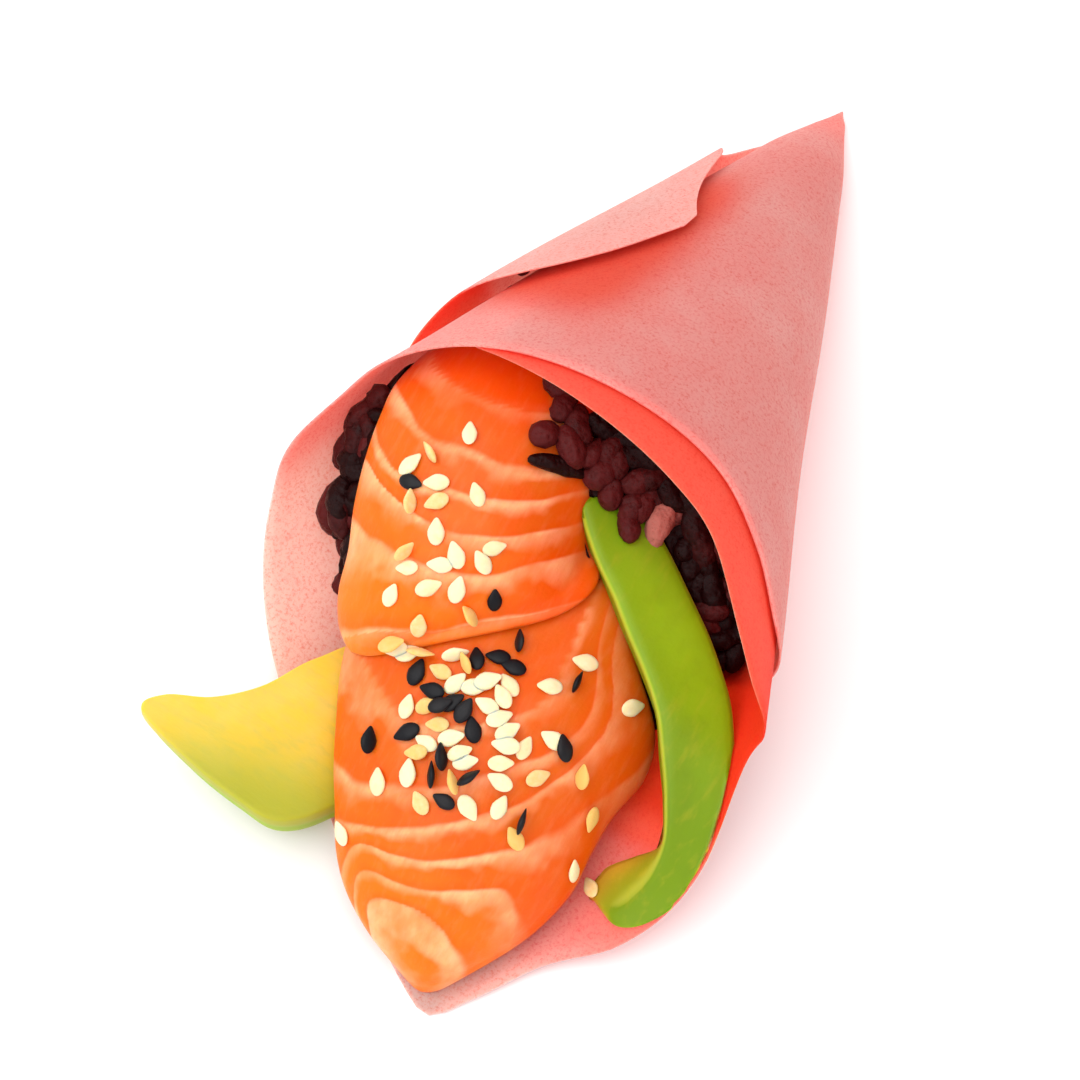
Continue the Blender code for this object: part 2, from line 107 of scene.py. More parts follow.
# Salmon stations: centre x, centre y, crest z, width, drop of the left and the right side
SLICE_ANGLE = 29
UPPER_SLICE = [
    (-12, 6.1, 29, 25, 3, 1), (-12.1, -1.8, 31, 29, 4, 1.5), (-11, -6.9, 31.8, 30.5, 5, 2),
    (-10.6, -12.5, 31.8, 29, 6, 3), (-9.1, -17.8, 31, 29, 7, 5.5), (-7, -22, 29.7, 30, 8, 8.5),
    (-5.3, -26.2, 28.2, 31.3, 8, 9), (-5, -30.6, 25.8, 28, 7, 6), (-6.4, -34.4, 22.8, 20.5, 5, 3),
    (-8, -36.8, 20.4, 13, 3, 2),
]
LOWER_SLICE = [
    (-5, -18, 19.5, 26, 3, 0.5), (-3.2, -23.8, 20.5, 32.5, 5, 1), (0, -31, 20.8, 35.5, 6, 3.5),
    (4.3, -37, 20.6, 38.5, 7, 8), (6.3, -41.9, 19.6, 37.5, 7, 9), (7, -46.6, 18, 33.5, 6, 8),
    (8.1, -51.2, 16.2, 30.5, 6, 7), (9.7, -55.2, 14, 27, 5, 6), (11, -59.2, 11.5, 20.5, 4, 5),
    (11.9, -62.7, 8.8, 13, 3, 3), (12.2, -65.9, 5.8, 5.5, 1, 1),
]
SLICE_THICKNESS = 7.5 * MM
# The left side is a little narrower than the station says
LEFT_TRIM = 0.95
# How square the free end is: a larger number keeps the full width for longer
UPPER_NOSE = 3.6
LOWER_NOSE = 7
# Clear space that is cut between a slice of avocado and the salmon
AVOCADO_GAP = 0.25 * MM

# Lines between the flakes of flesh: how far down the slice each one runs, from its left
# side to its right side, as shares of the slice's length
LINE_SIDES = (-1, -0.8, -0.5, -0.2, 0.2, 0.5, 0.8, 1)
UPPER_LINES = [
    (-0.08, -0.05, -0.02, 0.0, 0.03, 0.05, 0.05, 0.05),
    (0.02, 0.07, 0.16, 0.235, 0.275, 0.283, 0.27, 0.25),
    (0.10, 0.20, 0.325, 0.375, 0.415, 0.43, 0.40, 0.36),
    (0.22, 0.35, 0.44, 0.48, 0.515, 0.502, 0.455, 0.42),
    (0.32, 0.40, 0.51, 0.59, 0.615, 0.582, 0.53, 0.49),
    (0.46, 0.55, 0.64, 0.70, 0.715, 0.67, 0.60, 0.55),
    (0.80, 0.85, 0.87, 0.89, 0.89, 0.84, 0.78, 0.72),
    (1.20,) * 8,
]
UPPER_FAT = (0.1, 0.55, 0.8, 1.0, 0.75, 0.9, 0.4, 0.2)
LOWER_LINES = [
    (-0.08,) * 8,
    (0.16, 0.21, 0.33, 0.36, 0.33, 0.24, 0.10, 0.0),
    (0.36, 0.475, 0.50, 0.51, 0.47, 0.38, 0.17, 0.05),
    (0.53, 0.565, 0.597, 0.60, 0.565, 0.50, 0.24, 0.10),
    (0.70, 0.615, 0.655, 0.681, 0.667, 0.637, 0.56, 0.35),
    (0.80, 0.685, 0.725, 0.75, 0.752, 0.745, 0.82, 0.87),
    (0.87, 0.76, 0.775, 0.81, 0.895, 0.93, 0.955, 0.97),
    (1.20,) * 8,
]
LOWER_FAT = (0.1, 0.7, 0.6, 0.85, 1.0, 1.0, 1.0, 0.3)

# Right avocado slice: x, y, z of its green edge, edge width, slice depth, lean to the left
RIGHT_AVOCADO = [
    (0, -5, 25.5, 6, 6, 2), (7.4, -11.9, 24.2, 8.4, 7, 2.5), (14.4, -17, 22.4, 9.4, 8, 3),
    (20.3, -21.5, 20.4, 9.8, 8.5, 2), (25.1, -25.9, 18.6, 9.7, 9, 1.5),
    (28.4, -30.7, 16.6, 9.4, 9, 1.5), (30.7, -34.9, 14.6, 8.8, 9, 1.2),
    (32, -39.4, 12.2, 7.2, 8.5, 1), (31.6, -44, 9.5, 5.2, 7.5, 3.6), (29.7, -47.6, 7, 3.6, 5.8, 5),
    (27.5, -49.7, 5.5, 2, 4.4, 4),
]
# Left avocado slice: outline of its yellow face, x, y and z
LEFT_AVOCADO = [
    (-32.6, -55.6, 12.5), (-31.2, -52.6, 13.2), (-26, -50, 13.2), (-21.8, -45.8, 12.8),
    (-18.2, -39.4, 11.8), (-13.1, -34.8, 9.5), (-4, -45, 7.5), (-8, -54.5, 8), (-12.2, -59, 9.3),
    (-17.5, -59.2, 10.5), (-24.5, -58.2, 12),
]
LEFT_AVOCADO_THICKNESS = 5.5 * MM
# Its face is highest at this x, and falls away from there
LEFT_FACE_X = -31
LEFT_FACE_Z = 13.0
LEFT_FACE_FALL = 0.0082
# Shares of the form at which the face ends and the underside starts, and how far out that is
LEFT_FACE_SHARE = 0.42
LEFT_UNDER_SHARE = 0.58
LEFT_FACE_OUT = 0.975
PALE_RIM = (0.66, 0.62, 0.08)
PALE_YELLOW = (0.74, 0.56, 0.14)
STREAK_YELLOW = (0.56, 0.48, 0.09)
LOWER_GREEN = (0.38, 0.40, 0.022)

# Rice heap: the top of its core slopes down from a level part at the back
RICE_BACK_Y = 30 * MM
RICE_FRONT_Y = -39 * MM
RICE_CREST_X = -8 * MM
RICE_CREST_Z = 35.5 * MM
RICE_LEVEL_Z = 28.5 * MM
RICE_SIDE_FALL = 0.38
RICE_FRONT_FALL = 0.52
RICE_MARGIN = 1.1 * MM
RICE_LEFT_START = -8 * MM
RICE_LEFT_TAPER = 0.47 / (28 * MM) ** 1.5
RICE_BOTTOM_Z = 1.6 * MM

# Clear space that is cut between the core and the slices, and kept round each grain
RICE_GAP = 0.3 * MM
GRAIN_GAP = 0.1 * MM
# Grains that fill each patch: x from, x to, y from, y to, count
GRAIN_PATCHES = [(-2, 34, -36, 4, 300), (-36, -8, -42, -2, 140)]
GRAIN_TRIES = 14
UPPER_LAYER = 0.55
# Places on a grain that have to be clear of the sheet and the slices, in its own half sizes
GRAIN_PROBES = (
    (1, 0, 0), (-1, 0, 0), (0, 1, 0), (0, -1, 0), (0, 0, 1), (0, 0, -1),
    (0.6, 0.6, 0), (-0.6, -0.6, 0), (0.6, -0.6, 0), (-0.6, 0.6, 0),
)
# Grains that show by themselves: picture x, picture y, heading in degrees, length, width, tint
SHOWN_GRAINS = [
    (543, 435, 20, 3.9, 3.3, 0.62), (563, 408, 60, 4.4, 3.0, 0.5), (568, 447, 115, 5.6, 3.6, 0.6),
    (605, 431, -33, 7.2, 3.5, 0.08), (600, 473, 40, 4.6, 3.6, 0.52), (617, 462, 80, 4.4, 3.0, 0.45),
    (637, 480, 30, 4.6, 3.2, 0.5), (631, 507, 70, 4.8, 3.2, 0.48), (627, 529, 100, 4.0, 2.8, 0.52),
    (577, 426, 100, 5.0, 3.2, 0.45), (588, 452, 30, 4.6, 3.2, 0.55), (625, 440, -20, 6.0, 3.2, 0.1),
    (646, 458, -40, 6.2, 3.0, 0.05), (611, 492, 80, 4.4, 3.0, 0.5), (650, 478, 20, 4.8, 3.2, 0.35),
    (673, 494, -50, 5.6, 3.2, 0.2), (642, 506, 60, 4.4, 3.0, 0.55), (695, 527, 110, 6.0, 3.4, 0.25),
    (610, 452, 60, 4.6, 3.0, 0.45), (560, 390, -40, 5.0, 3.0, 0.5), (504, 289, 35, 2.8, 1.3, 0.1),
    (527, 277, 15, 1.8, 1.2, 0.5),
    (662, 520, 62, 6.6, 3.1, 1.0), (556, 466, -14, 8.0, 2.2, 0.0), (700, 545, 110, 6.4, 3.4, 0.3),
    (690, 505, 130, 6.0, 3.2, 0.2), (713, 590, 100, 6.2, 3.3, 0.15), (352, 407, 70, 6.0, 3.4, 0.4),
    (340, 438, 75, 6.8, 3.8, 0.42), (359, 440, 82, 6.0, 3.0, 0.3), (327, 502, 86, 7.6, 4.6, 0.6),
    (343, 480, 60, 4.6, 3.0, 0.2), (345, 515, 92, 6.0, 3.2, 0.35), (344, 541, 40, 4.4, 3.4, 0.5),
    (344, 560, 80, 4.6, 2.8, 0.1), (339, 583, 70, 3.2, 2.6, 0.6), (366, 395, 60, 5.4, 3.0, 0.25),
]

# Sesame: picture x, picture y, heading of the pointed end in degrees, 1 when on its edge
# A seed lies on those that are nearer to it than this
SEED_REACH = 2.1 * MM
WHITE_SEEDS = [
    (470, 434, 90, 0), (412, 465, 40, 0), (437, 483, 180, 0), (477, 495, 105, 0), (437, 532, 90, 0),
    (408, 568, 180, 0), (440, 565, 175, 0), (456, 555, 105, 0), (494, 548, 15, 0), (482, 562, 120, 0),
    (429, 587, 20, 0), (457, 589, 75, 0), (392, 595, 60, 0), (397, 648, 200, 0), (411, 655, 5, 0),
    (456, 657, 15, 1), (456, 684, 45, 0), (475, 688, 0, 0), (488, 683, 20, 0), (509, 686, 120, 0),
    (502, 698, 115, 0), (487, 707, 150, 0), (408, 707, 80, 0), (499, 720, 25, 0), (507, 732, 30, 0),
    (427, 743, 150, 0), (452, 738, 10, 0), (461, 753, 20, 0), (466, 762, 10, 0), (505, 746, 170, 0),
    (524, 748, 60, 0), (500, 763, 0, 0), (409, 773, 85, 0), (379, 782, 90, 0), (499, 781, 150, 0),
    (468, 808, -60, 0), (499, 807, 60, 0), (572, 870, 110, 0), (549, 687, 180, 0), (584, 663, 170, 0),
    (631, 708, 10, 0), (552, 740, 150, 0), (343, 833, 130, 0),
]
GOLDEN_SEEDS = [
    (432, 454, 125, 1), (413, 502, 95, 1), (437, 502, 200, 0), (409, 553, 35, 1), (469, 612, 125, 1),
    (419, 624, 80, 0), (393, 637, 25, 1), (422, 645, -10, 1), (441, 672, 150, 0), (466, 666, 115, 1),
    (428, 706, 20, 0), (438, 725, 175, 0), (418, 753, 180, 0), (453, 782, 100, 1), (537, 777, 15, 0),
    (579, 775, 88, 1), (421, 803, 120, 0), (514, 838, 120, 0), (590, 819, 255, 0), (592, 888, 130, 0),
]
BLACK_SEEDS = [
    (412, 483, -20, 0), (494, 599, 95, 0), (418, 673, 70, 0), (477, 661, 95, 0), (498, 658, 170, 0),
    (513, 668, 155, 0), (519, 643, 85, 1), (434, 692, 160, 0), (453, 703, 30, 0), (465, 712, 60, 0),
    (443, 707, 20, 0), (408, 733, 200, 0), (373, 741, 88, 1), (473, 730, 100, 0), (443, 757, 95, 1),
    (433, 775, 95, 1), (469, 777, 30, 1), (444, 801, 150, 0), (518, 820, 65, 1), (575, 683, 55, 1),
    (562, 748, 100, 0),
]

SLICES = ("Salmon_Lower_Slice", "Salmon_Upper_Slice", "Avocado_Right_Slice", "Avocado_Left_Slice")

# The view: compass turn and height of the camera, what it looks at and from how far
VIEW_TURN = math.radians(29)
VIEW_HEIGHT = math.radians(65)
VIEW_TARGET = Vector((-1.591, -14.616, 15.0)) * MM
VIEW_DISTANCE = 306 * MM
LENS = 85
SENSOR = 36
PICTURE = 1080
BACK = Vector((
    math.sin(VIEW_TURN) * math.cos(VIEW_HEIGHT),
    -math.cos(VIEW_TURN) * math.cos(VIEW_HEIGHT),
    math.sin(VIEW_HEIGHT),
))
RIGHT = Vector((math.cos(VIEW_TURN), math.sin(VIEW_TURN), 0))
UP = BACK.cross(RIGHT)
EYE = VIEW_TARGET + BACK * VIEW_DISTANCE

# The stage: half the side of the floor, and the size and place of the soft light
FLOOR_HALF = 1.6
KEY_SIZE = 0.8
KEY_PLACE = Vector((-0.14, -0.2, 0.7))


# Numbers and curves

def smooth(value):
    value = min(max(value, 0), 1)
    return value * value * (3 - 2 * value)


def hermite(before, start, end, after, share):
    """Smooth curve between two (place, value) pairs, led by the pairs beside them."""
    span = end[0] - start[0]
    slope0 = (end[1] - before[1]) / (end[0] - before[0]) * span
    slope1 = (after[1] - start[1]) / (after[0] - start[0]) * span
    s = min(max(share, 0), 1)
    value = (2 * s**3 - 3 * s**2 + 1) * start[1] + (s**3 - 2 * s**2 + s) * slope0
    return value + (3 * s**2 - 2 * s**3) * end[1] + (s**3 - s**2) * slope1


def along(table, place):
    """Read a table of (place, value) with a smooth curve through its points."""
    last = len(table) - 1
    index = 0
    while index < last - 1 and place > table[index + 1][0]:
        index += 1
    start, end = table[index], table[index + 1]
    share = (place - start[0]) / (end[0] - start[0])
    return hermite(table[max(index - 1, 0)], start, end, table[min(index + 2, last)], share)


def station(rows, share, closed=False):
    """Row of a table of stations at a share of its length, on a smooth curve."""
    count = len(rows) if closed else len(rows) - 1
    place = share * count
    index = min(int(place), count - 1)
    step = place - index
    picks = [index - 1, index, index + 1, index + 2]
    picks = [pick % len(rows) if closed else min(max(pick, 0), count) for pick in picks]
    p0, p1, p2, p3 = (rows[pick] for pick in picks)
    result = []
    for a, b, c, d in zip(p0, p1, p2, p3):
        value = 2 * b + (c - a) * step + (2 * a - 5 * b + 4 * c - d) * step**2
        result.append((value + (3 * b - a - 3 * c + d) * step**3) / 2)
    return result


def rough(point, size, seed=0.0):
    """Soft unevenness from -1 to 1, with bumps of about the given size."""
    return noise.noise(point / size + Vector((seed, seed * 1.7, -seed)))


# Meshes and pieces

def ball(around, rows):
    """Unit ball with its poles on Z, ready to be drawn out into a closed form."""
    form = bmesh.new()
    bmesh.ops.create_uvsphere(form, u_segments=around, v_segments=rows, radius=1)
    return form


def piece_from(form, name, look, slot, *nodes):
    """Turn a bmesh into a smooth piece that rides on the roll and stands for its nodes."""
    form.normal_update()
    mesh = bpy.data.meshes.new(name)
    form.to_mesh(mesh)
    form.free()
    mesh.shade_smooth()
    mesh.materials.append(look)
    piece = bpy.data.objects.new(name, mesh)
    bpy.context.scene.collection.objects.link(piece)
    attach(piece, "root")
    if nodes:
        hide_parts(*nodes)
    return piece


def outward(form):
    """Turn every face outwards."""
    bmesh.ops.recalc_face_normals(form, faces=form.faces)
    if form.calc_volume(signed=True) < 0:
        bmesh.ops.reverse_faces(form, faces=form.faces)


def settle_modifiers(piece):
    """Make what the modifiers show the piece's own mesh."""
    graph = bpy.context.evaluated_depsgraph_get()
    graph.update()
    done = bpy.data.meshes.new_from_object(piece.evaluated_get(graph))
    piece.modifiers.clear()
    old = piece.data
    piece.data = done
    bpy.data.meshes.remove(old)
    done.name = piece.name


def tree_of(name):
    form = bmesh.new()
    form.from_mesh(bpy.data.objects[name].data)
    tree = BVHTree.FromBMesh(form)
    form.free()
    return tree


def carve(piece, names, gap):
    """Cut a piece back to a small gap from the pieces that lie in it."""
    knives = []
    for name in names:
        knife = bpy.data.objects.new("knife", bpy.data.objects[name].data.copy())
        bpy.context.scene.collection.objects.link(knife)
        grow = knife.modifiers.new("Grow", "DISPLACE")
        grow.strength = gap
        grow.mid_level = 0
        cut = piece.modifiers.new("Cut", "BOOLEAN")
        cut.operation = "DIFFERENCE"
        cut.object = knife
        cut.solver = "MANIFOLD"
        knives.append(knife)
    settle_modifiers(piece)
    for knife in knives:
        mesh = knife.data
        bpy.data.objects.remove(knife)
        bpy.data.meshes.remove(mesh)
    piece.data.shade_smooth()


def seen_at(x, y, trees):
    """What the camera sees at a place in the picture: spot, normal and number of the tree."""
    scale = SENSOR / LENS / PICTURE
    ray = RIGHT * ((x - PICTURE / 2) * scale) - UP * ((y - PICTURE / 2) * scale) - BACK
    ray.normalize()
    best = None
    for index, tree in enumerate(trees):
        spot, normal, face, distance = tree.ray_cast(EYE, ray)
        if spot is not None and (best is None or distance < best[0]):
            best = (distance, spot, normal if normal.dot(ray) < 0 else -normal, index)
    if best is None:
        raise RuntimeError(f"nothing is seen at {x}, {y}")
    return best[1:]


def in_view(heading):
    """Direction in the picture's plane, at a heading in degrees from its horizontal."""
    heading = math.radians(heading)
    return RIGHT * math.cos(heading) + UP * math.sin(heading)


def placed(spot, normal, ahead, lift, lean=0.0, nose=0.0):
    """Placing with Z on a surface normal and X along a direction, leaned about X."""
    up = normal.normalized()
    ahead = (ahead - up * ahead.dot(up)).normalized()
    turn = Matrix((ahead, up.cross(ahead), up)).transposed().to_4x4()
    tilt = Matrix.Rotation(lean, 4, "X") @ Matrix.Rotation(nose, 4, "Y")
    return Matrix.Translation(spot + up * lift) @ turn @ tilt


# Finishes

class Look:
    """Procedural finish that is put together node by node."""

    def __init__(self, name):
        self.material = bpy.data.materials.new(name)
        self.material.use_nodes = True
        self.tree = self.material.node_tree
        self.shader = self.tree.nodes["Principled BSDF"]
        self.place = self.tree.nodes.new("ShaderNodeTexCoord").outputs["Object"]

    def feed(self, socket, value):
        if isinstance(value, bpy.types.NodeSocket):
            self.tree.links.new(value, socket)
        elif socket.type == "RGBA":
            socket.default_value = (*value, 1)
        else:
            socket.default_value = value

    def attribute(self, name):
        node = self.tree.nodes.new("ShaderNodeAttribute")
        node.attribute_name = name
        return node.outputs["Fac"]

    def axis(self, name):
        node = self.tree.nodes.new("ShaderNodeSeparateXYZ")
        self.tree.links.new(self.place, node.inputs[0])
        return node.outputs[name]

    def stretched(self, scale, turn=0.0):
        node = self.tree.nodes.new("ShaderNodeMapping")
        self.tree.links.new(self.place, node.inputs["Vector"])
        node.inputs["Rotation"].default_value = (0, 0, turn)
        node.inputs["Scale"].default_value = scale
        return node.outputs["Vector"]

    def noise(self, size, detail=2.0, roughness=0.5, place=None):
        """Cloudy pattern with marks of the given size in metres."""
        node = self.tree.nodes.new("ShaderNodeTexNoise")
        self.tree.links.new(place or self.place, node.inputs["Vector"])
        node.inputs["Scale"].default_value = 1 / size
        node.inputs["Detail"].default_value = detail
        node.inputs["Roughness"].default_value = roughness
        return node.outputs["Fac"]

    def cells(self, size):
        node = self.tree.nodes.new("ShaderNodeTexVoronoi")
        node.feature = "SMOOTH_F1"
        self.tree.links.new(self.place, node.inputs["Vector"])
        node.inputs["Scale"].default_value = 1 / size
        return node.outputs["Distance"]

    def math(self, operation, first, second=0.0):
        node = self.tree.nodes.new("ShaderNodeMath")
        node.operation = operation
        self.feed(node.inputs[0], first)
        self.feed(node.inputs[1], second)
        return node.outputs[0]

    def drift(self, value, pattern, amount):
        """Value moved up and down by a pattern around its middle."""
        wave = self.math("MULTIPLY", self.math("SUBTRACT", pattern, 0.5), amount)
        return self.math("ADD", value, wave)

    def ramp(self, value, start, end, low=0.0, high=1.0):
        """Soft step from low to high as the value goes from start to end."""
        node = self.tree.nodes.new("ShaderNodeMapRange")
        node.interpolation_type = "SMOOTHSTEP"
        self.feed(node.inputs["Value"], value)
        for name, number in zip(("From Min", "From Max", "To Min", "To Max"), (start, end, low, high)):
            node.inputs[name].default_value = number
        return node.outputs["Result"]

    def mix(self, share, first, second, blend="MIX"):
        node = self.tree.nodes.new("ShaderNodeMix")
        node.data_type = "RGBA"
        node.blend_type = blend
        self.feed(node.inputs[0], share)
        self.feed(node.inputs[6], first)
        self.feed(node.inputs[7], second)
        return node.outputs[2]

    def over(self, colour, other, value, start, end, high=1.0, low=0.0):
        """Lay another colour over this one, as the value goes from start to end."""
        return self.mix(self.ramp(value, start, end, low, high), colour, other)

    def bump(self, height, distance, strength=1.0, below=None):
        node = self.tree.nodes.new("ShaderNodeBump")
        node.inputs["Strength"].default_value = strength
        node.inputs["Distance"].default_value = distance
        self.feed(node.inputs["Height"], height)
        if below:
            self.tree.links.new(below, node.inputs["Normal"])
        return node.outputs["Normal"]

    def finish(
        self, colour, roughness, bump=None, shine=0.5, coat=0.0, coat_roughness=0.2,
        depth=0.0, bleed=(1, 0.4, 0.2),
    ):
        """Set the shader; depth is how far light wanders under the surface."""
        sockets = self.shader.inputs
        self.feed(sockets["Base Color"], colour)
        self.feed(sockets["Roughness"], roughness)
        sockets["Specular IOR Level"].default_value = shine
        sockets["Coat Weight"].default_value = coat
        sockets["Coat Roughness"].default_value = coat_roughness
        if bump:
            self.tree.links.new(bump, sockets["Normal"])
        if depth:
            sockets["Subsurface Weight"].default_value = 1.0
            sockets["Subsurface Scale"].default_value = depth
            sockets["Subsurface Radius"].default_value = bleed
        return self.material


def colour_value(name, description, default):
    return FloatVectorProperty(
        name=name, description=description, subtype="COLOR", size=3, min=0, max=1, default=default
    )


def length_value(name, description, default):
    return FloatProperty(
        name=name, description=description, unit="LENGTH", min=0, precision=5, default=default
    )


class HandRollPaper(bpy.types.PropertyGroup):
    thickness: length_value("Thickness", "Thickness of the shown sheet", 0.25 * MM)
    gap: length_value("Gap", "Clear space between the filling and the sheet", 0.2 * MM)
    pink: colour_value("Pink", "Plain colour of the sheet", (1.0, 0.195, 0.172))
    shade: colour_value("Shade", "What the darker marks leave of a colour", (0.92, 0.47, 0.44))
    pale: colour_value("Pale", "Paler clouds in the sheet", (1.0, 0.27, 0.24))
    # Bare is painted light: the paler colour of a single sheet lit through from behind
    bare: colour_value("Bare", "Single sheet with nothing behind it", (1.0, 0.40, 0.35))
    # Damp and soaked are painted shade: deeper colours where the sheet lies over the dark rice, and in
    # the shade beside the filling and the flap
    painted_shade: colour_value("Damp", "Sheet that lies on the rice", (0.95, 0.062, 0.034))
    deep_painted_shade: colour_value("Soaked", "Sheet in the shade beside the filling", (0.62, 0.02, 0.004))


class HandRollSalmon(bpy.types.PropertyGroup):
    relief: length_value("Relief", "Height of the flakes' edges", 0.11 * MM)
    lip: length_value("Lip", "Least thickness of the upper slice on the lower one", 1.7 * MM)
    # Deep darkens random patches of flesh, and is also painted shade inside the roll, down the right side
    # and under each flake's edge
    deep: colour_value("Deep", "Flesh inside the roll", (0.82, 0.076, 0.0))
    middle: colour_value("Middle", "Plain flesh", (0.71, 0.128, 0.005))
    light: colour_value("Light", "Flesh at the free end", (0.92, 0.185, 0.006))
    fat: colour_value("Fat", "Lines between the flakes", (1.0, 0.50, 0.25))


class HandRollAvocado(bpy.types.PropertyGroup):
    green: colour_value("Green", "Outer green flesh", (0.29, 0.47, 0.005))
    leaf: colour_value("Dark green", "Deeper green along one side", (0.17, 0.27, 0.002))
    yellow: colour_value("Yellow", "Inner yellow flesh", (0.82, 0.54, 0.045))
    # Amber is painted shade on the cut face, reddened as by light off the pink paper
    red_shade: colour_value("Amber", "Flesh near the stone's hollow", (0.60, 0.25, 0.02))


class HandRollRice(bpy.types.PropertyGroup):
    length: length_value("Length", "Length of a grain", 5.8 * MM)
    width: length_value("Width", "Width of a grain", 3.0 * MM)
    seed: IntProperty(name="Seed", description="Number that fixes how the grains fall", default=11)
    black: colour_value("Black", "Dark husks", (0.012, 0.0015, 0.0015))
    purple: colour_value("Purple", "Burst grains", (0.090, 0.010, 0.010))
    rose: colour_value("Rose", "Grains without their husk", (0.46, 0.14, 0.11))


class HandRollSesame(bpy.types.PropertyGroup):
    length: length_value("Length", "Length of a seed", 3.1 * MM)
    width: length_value("Width", "Width of a seed", 1.95 * MM)
    height: length_value("Height", "Height of a seed", 0.95 * MM)
    white: colour_value("White", "Hulled seeds", (0.86, 0.76, 0.50))
    golden: colour_value("Golden", "Toasted seeds", (0.80, 0.49, 0.14))
    black: colour_value("Black", "Black seeds", (0.004, 0.004, 0.006))


class HandRollStage(bpy.types.PropertyGroup):
    floor: colour_value("Floor", "Plain pale floor", (0.90, 0.895, 0.89))
    sky: FloatProperty(name="Sky", description="Strength of the light all around", default=1.0, min=0)
    key: FloatProperty(
        name="Key light", description="Power of the large soft light", default=4.4, min=0, unit="POWER"
    )


# Paper

def layer_offset(turn, reach):
    """How far a turn of the sheet is from the innermost one. The tip is a single layer."""
    share = SINGLE_LAYER + (1 - SINGLE_LAYER) * smooth(reach / LAYERS_START)
    return share * LAYER_PITCH * (turn - FIRST_TURN) / 360


def sheet_point(turn, reach):
    """Middle of the sheet at a turn around the roll and a distance from the tip."""
    angle = math.radians(turn)
    offset = layer_offset(turn, reach)
    outer_bottom = layer_offset(OUTER_BOTTOM, reach)
    under = outer_bottom - layer_offset(INNER_BOTTOM, reach)
    lowest = WALL / 2 + (under if turn < 360 else 0)
    ripple = RIPPLE * smooth(reach / TIP_Y) * math.sin(3 * angle + reach / (9 * MM))
    lift = LIFT_HEIGHT * smooth((turn - LIFT_START_TURN) / LIFT_TURNS)
    lift *= 1 - LIFT_RETURN * smooth((turn - LIFT_START_TURN - LIFT_TURNS) / LIFT_TURNS)
    half_width = SPREAD * reach + TIP_RADIUS + offset + lift + ripple
    half_height = RISE * reach + TIP_HALF_HEIGHT + offset + lift + ripple
    middle = (RISE - BOTTOM_FLAT) * reach + TIP_HALF_HEIGHT + outer_bottom + WALL / 2
    x = half_width * math.sin(angle)
    z = max(middle + half_height * math.cos(angle), lowest)
    settle = LAYER_PITCH * smooth((reach - SETTLE_START) / SETTLE_LENGTH)
    z = max(z - settle, WALL / 2)
    opening = smooth((reach - OPEN_START) / OPEN_LENGTH)
    side = 0.5 + 0.5 * math.sin(angle)
    flatten = opening * (OPEN_FLATTEN_LEFT + (OPEN_FLATTEN_RIGHT - OPEN_FLATTEN_LEFT) * side)
    z = WALL / 2 + (z - WALL / 2) * (1 - flatten)
    return Vector((x * (1 + OPEN_WIDEN * opening), TIP_Y - reach, z))


def sheet_light_and_shade(turn, reach):
    """Painted light and shade of the sheet: -1 where painted shade lies deep, 1 where it is painted pale,
    as light through a single bare layer.
    """
    reach /= MM
    # Painted shade beside and under the flap and by the filling; painted light at the far corner and past
    # the inner end
    shade_beside_flap = smooth((70 - reach) / 16) * smooth((374 - turn) / 45) * smooth((turn - 275) / 35)
    shade_beside_flap *= smooth((reach - 14) / 20)
    shade_under_flap = smooth((turn - 590) / 25) * smooth((655 - turn) / 10) * smooth((reach - 49) / 8)
    light_at_corner = smooth((reach - 117) / 9)
    shade_by_filling = smooth((108 - reach) / 9) * smooth((turn - 60) / 40) * smooth((180 - turn) / 20)
    inner_end = smooth((turn - 384) / 5) * smooth((reach - 15) / 10) * smooth((72 - reach) / 8)
    tone = along(LIGHT_AND_SHADE, turn) - 1.1 * shade_beside_flap - 1.3 * shade_under_flap - 1.5 * shade_by_filling
    return tone + 0.8 * light_at_corner + 0.15 * inner_end


def sheet_form(first, last, columns, rows):
    """Sheet between two turns, drawn from a flat grid."""
    form = bmesh.new()
    bmesh.ops.create_grid(form, x_segments=columns, y_segments=rows, size=0.5)
    light_and_shade_layer = form.verts.layers.float.new("tone")
    for vertex in form.verts:
        turn = first + (last - first) * (vertex.co.x + 0.5)
        near = along(TIP_EDGE, turn) * MM
        far = along(MOUTH_EDGE, turn) * MM
        reach = near + (far - near) * (vertex.co.y + 0.5)
        # Painted light and shade, kept on each point of the sheet
        vertex[light_and_shade_layer] = sheet_light_and_shade(turn, reach)
        vertex.co = sheet_point(turn, reach)
    form.normal_update()
    return form


def inward(spot, normal):
    """Normal of the sheet, turned towards the middle of the roll."""
    axis = Vector((0, spot.y, RISE * (TIP_Y - spot.y)))
    return normal if (axis - spot).dot(normal) > 0 else -normal


def inner_wall():
    """Innermost turn of the sheet, to keep the filling inside it."""
    form = sheet_form(FIRST_TURN, FIRST_TURN + 360, 120, 24)
    tree = BVHTree.FromBMesh(form)
    form.free()
    return tree


def keep_inside(form, wall, gap):
    """Move points that reach the sheet back to a small gap inside it."""
    clear = WALL / 2 + gap
    for vertex in form.verts:
        spot, normal = wall.find_nearest(vertex.co)[:2]
        way = inward(spot, normal)
        depth = (vertex.co - spot).dot(way)
        beside = ((vertex.co - spot) - way * depth).length
        if depth < clear and beside < 0.5 * MM:
            vertex.co = spot + way * clear
        vertex.co.z = max(vertex.co.z, WALL + gap)


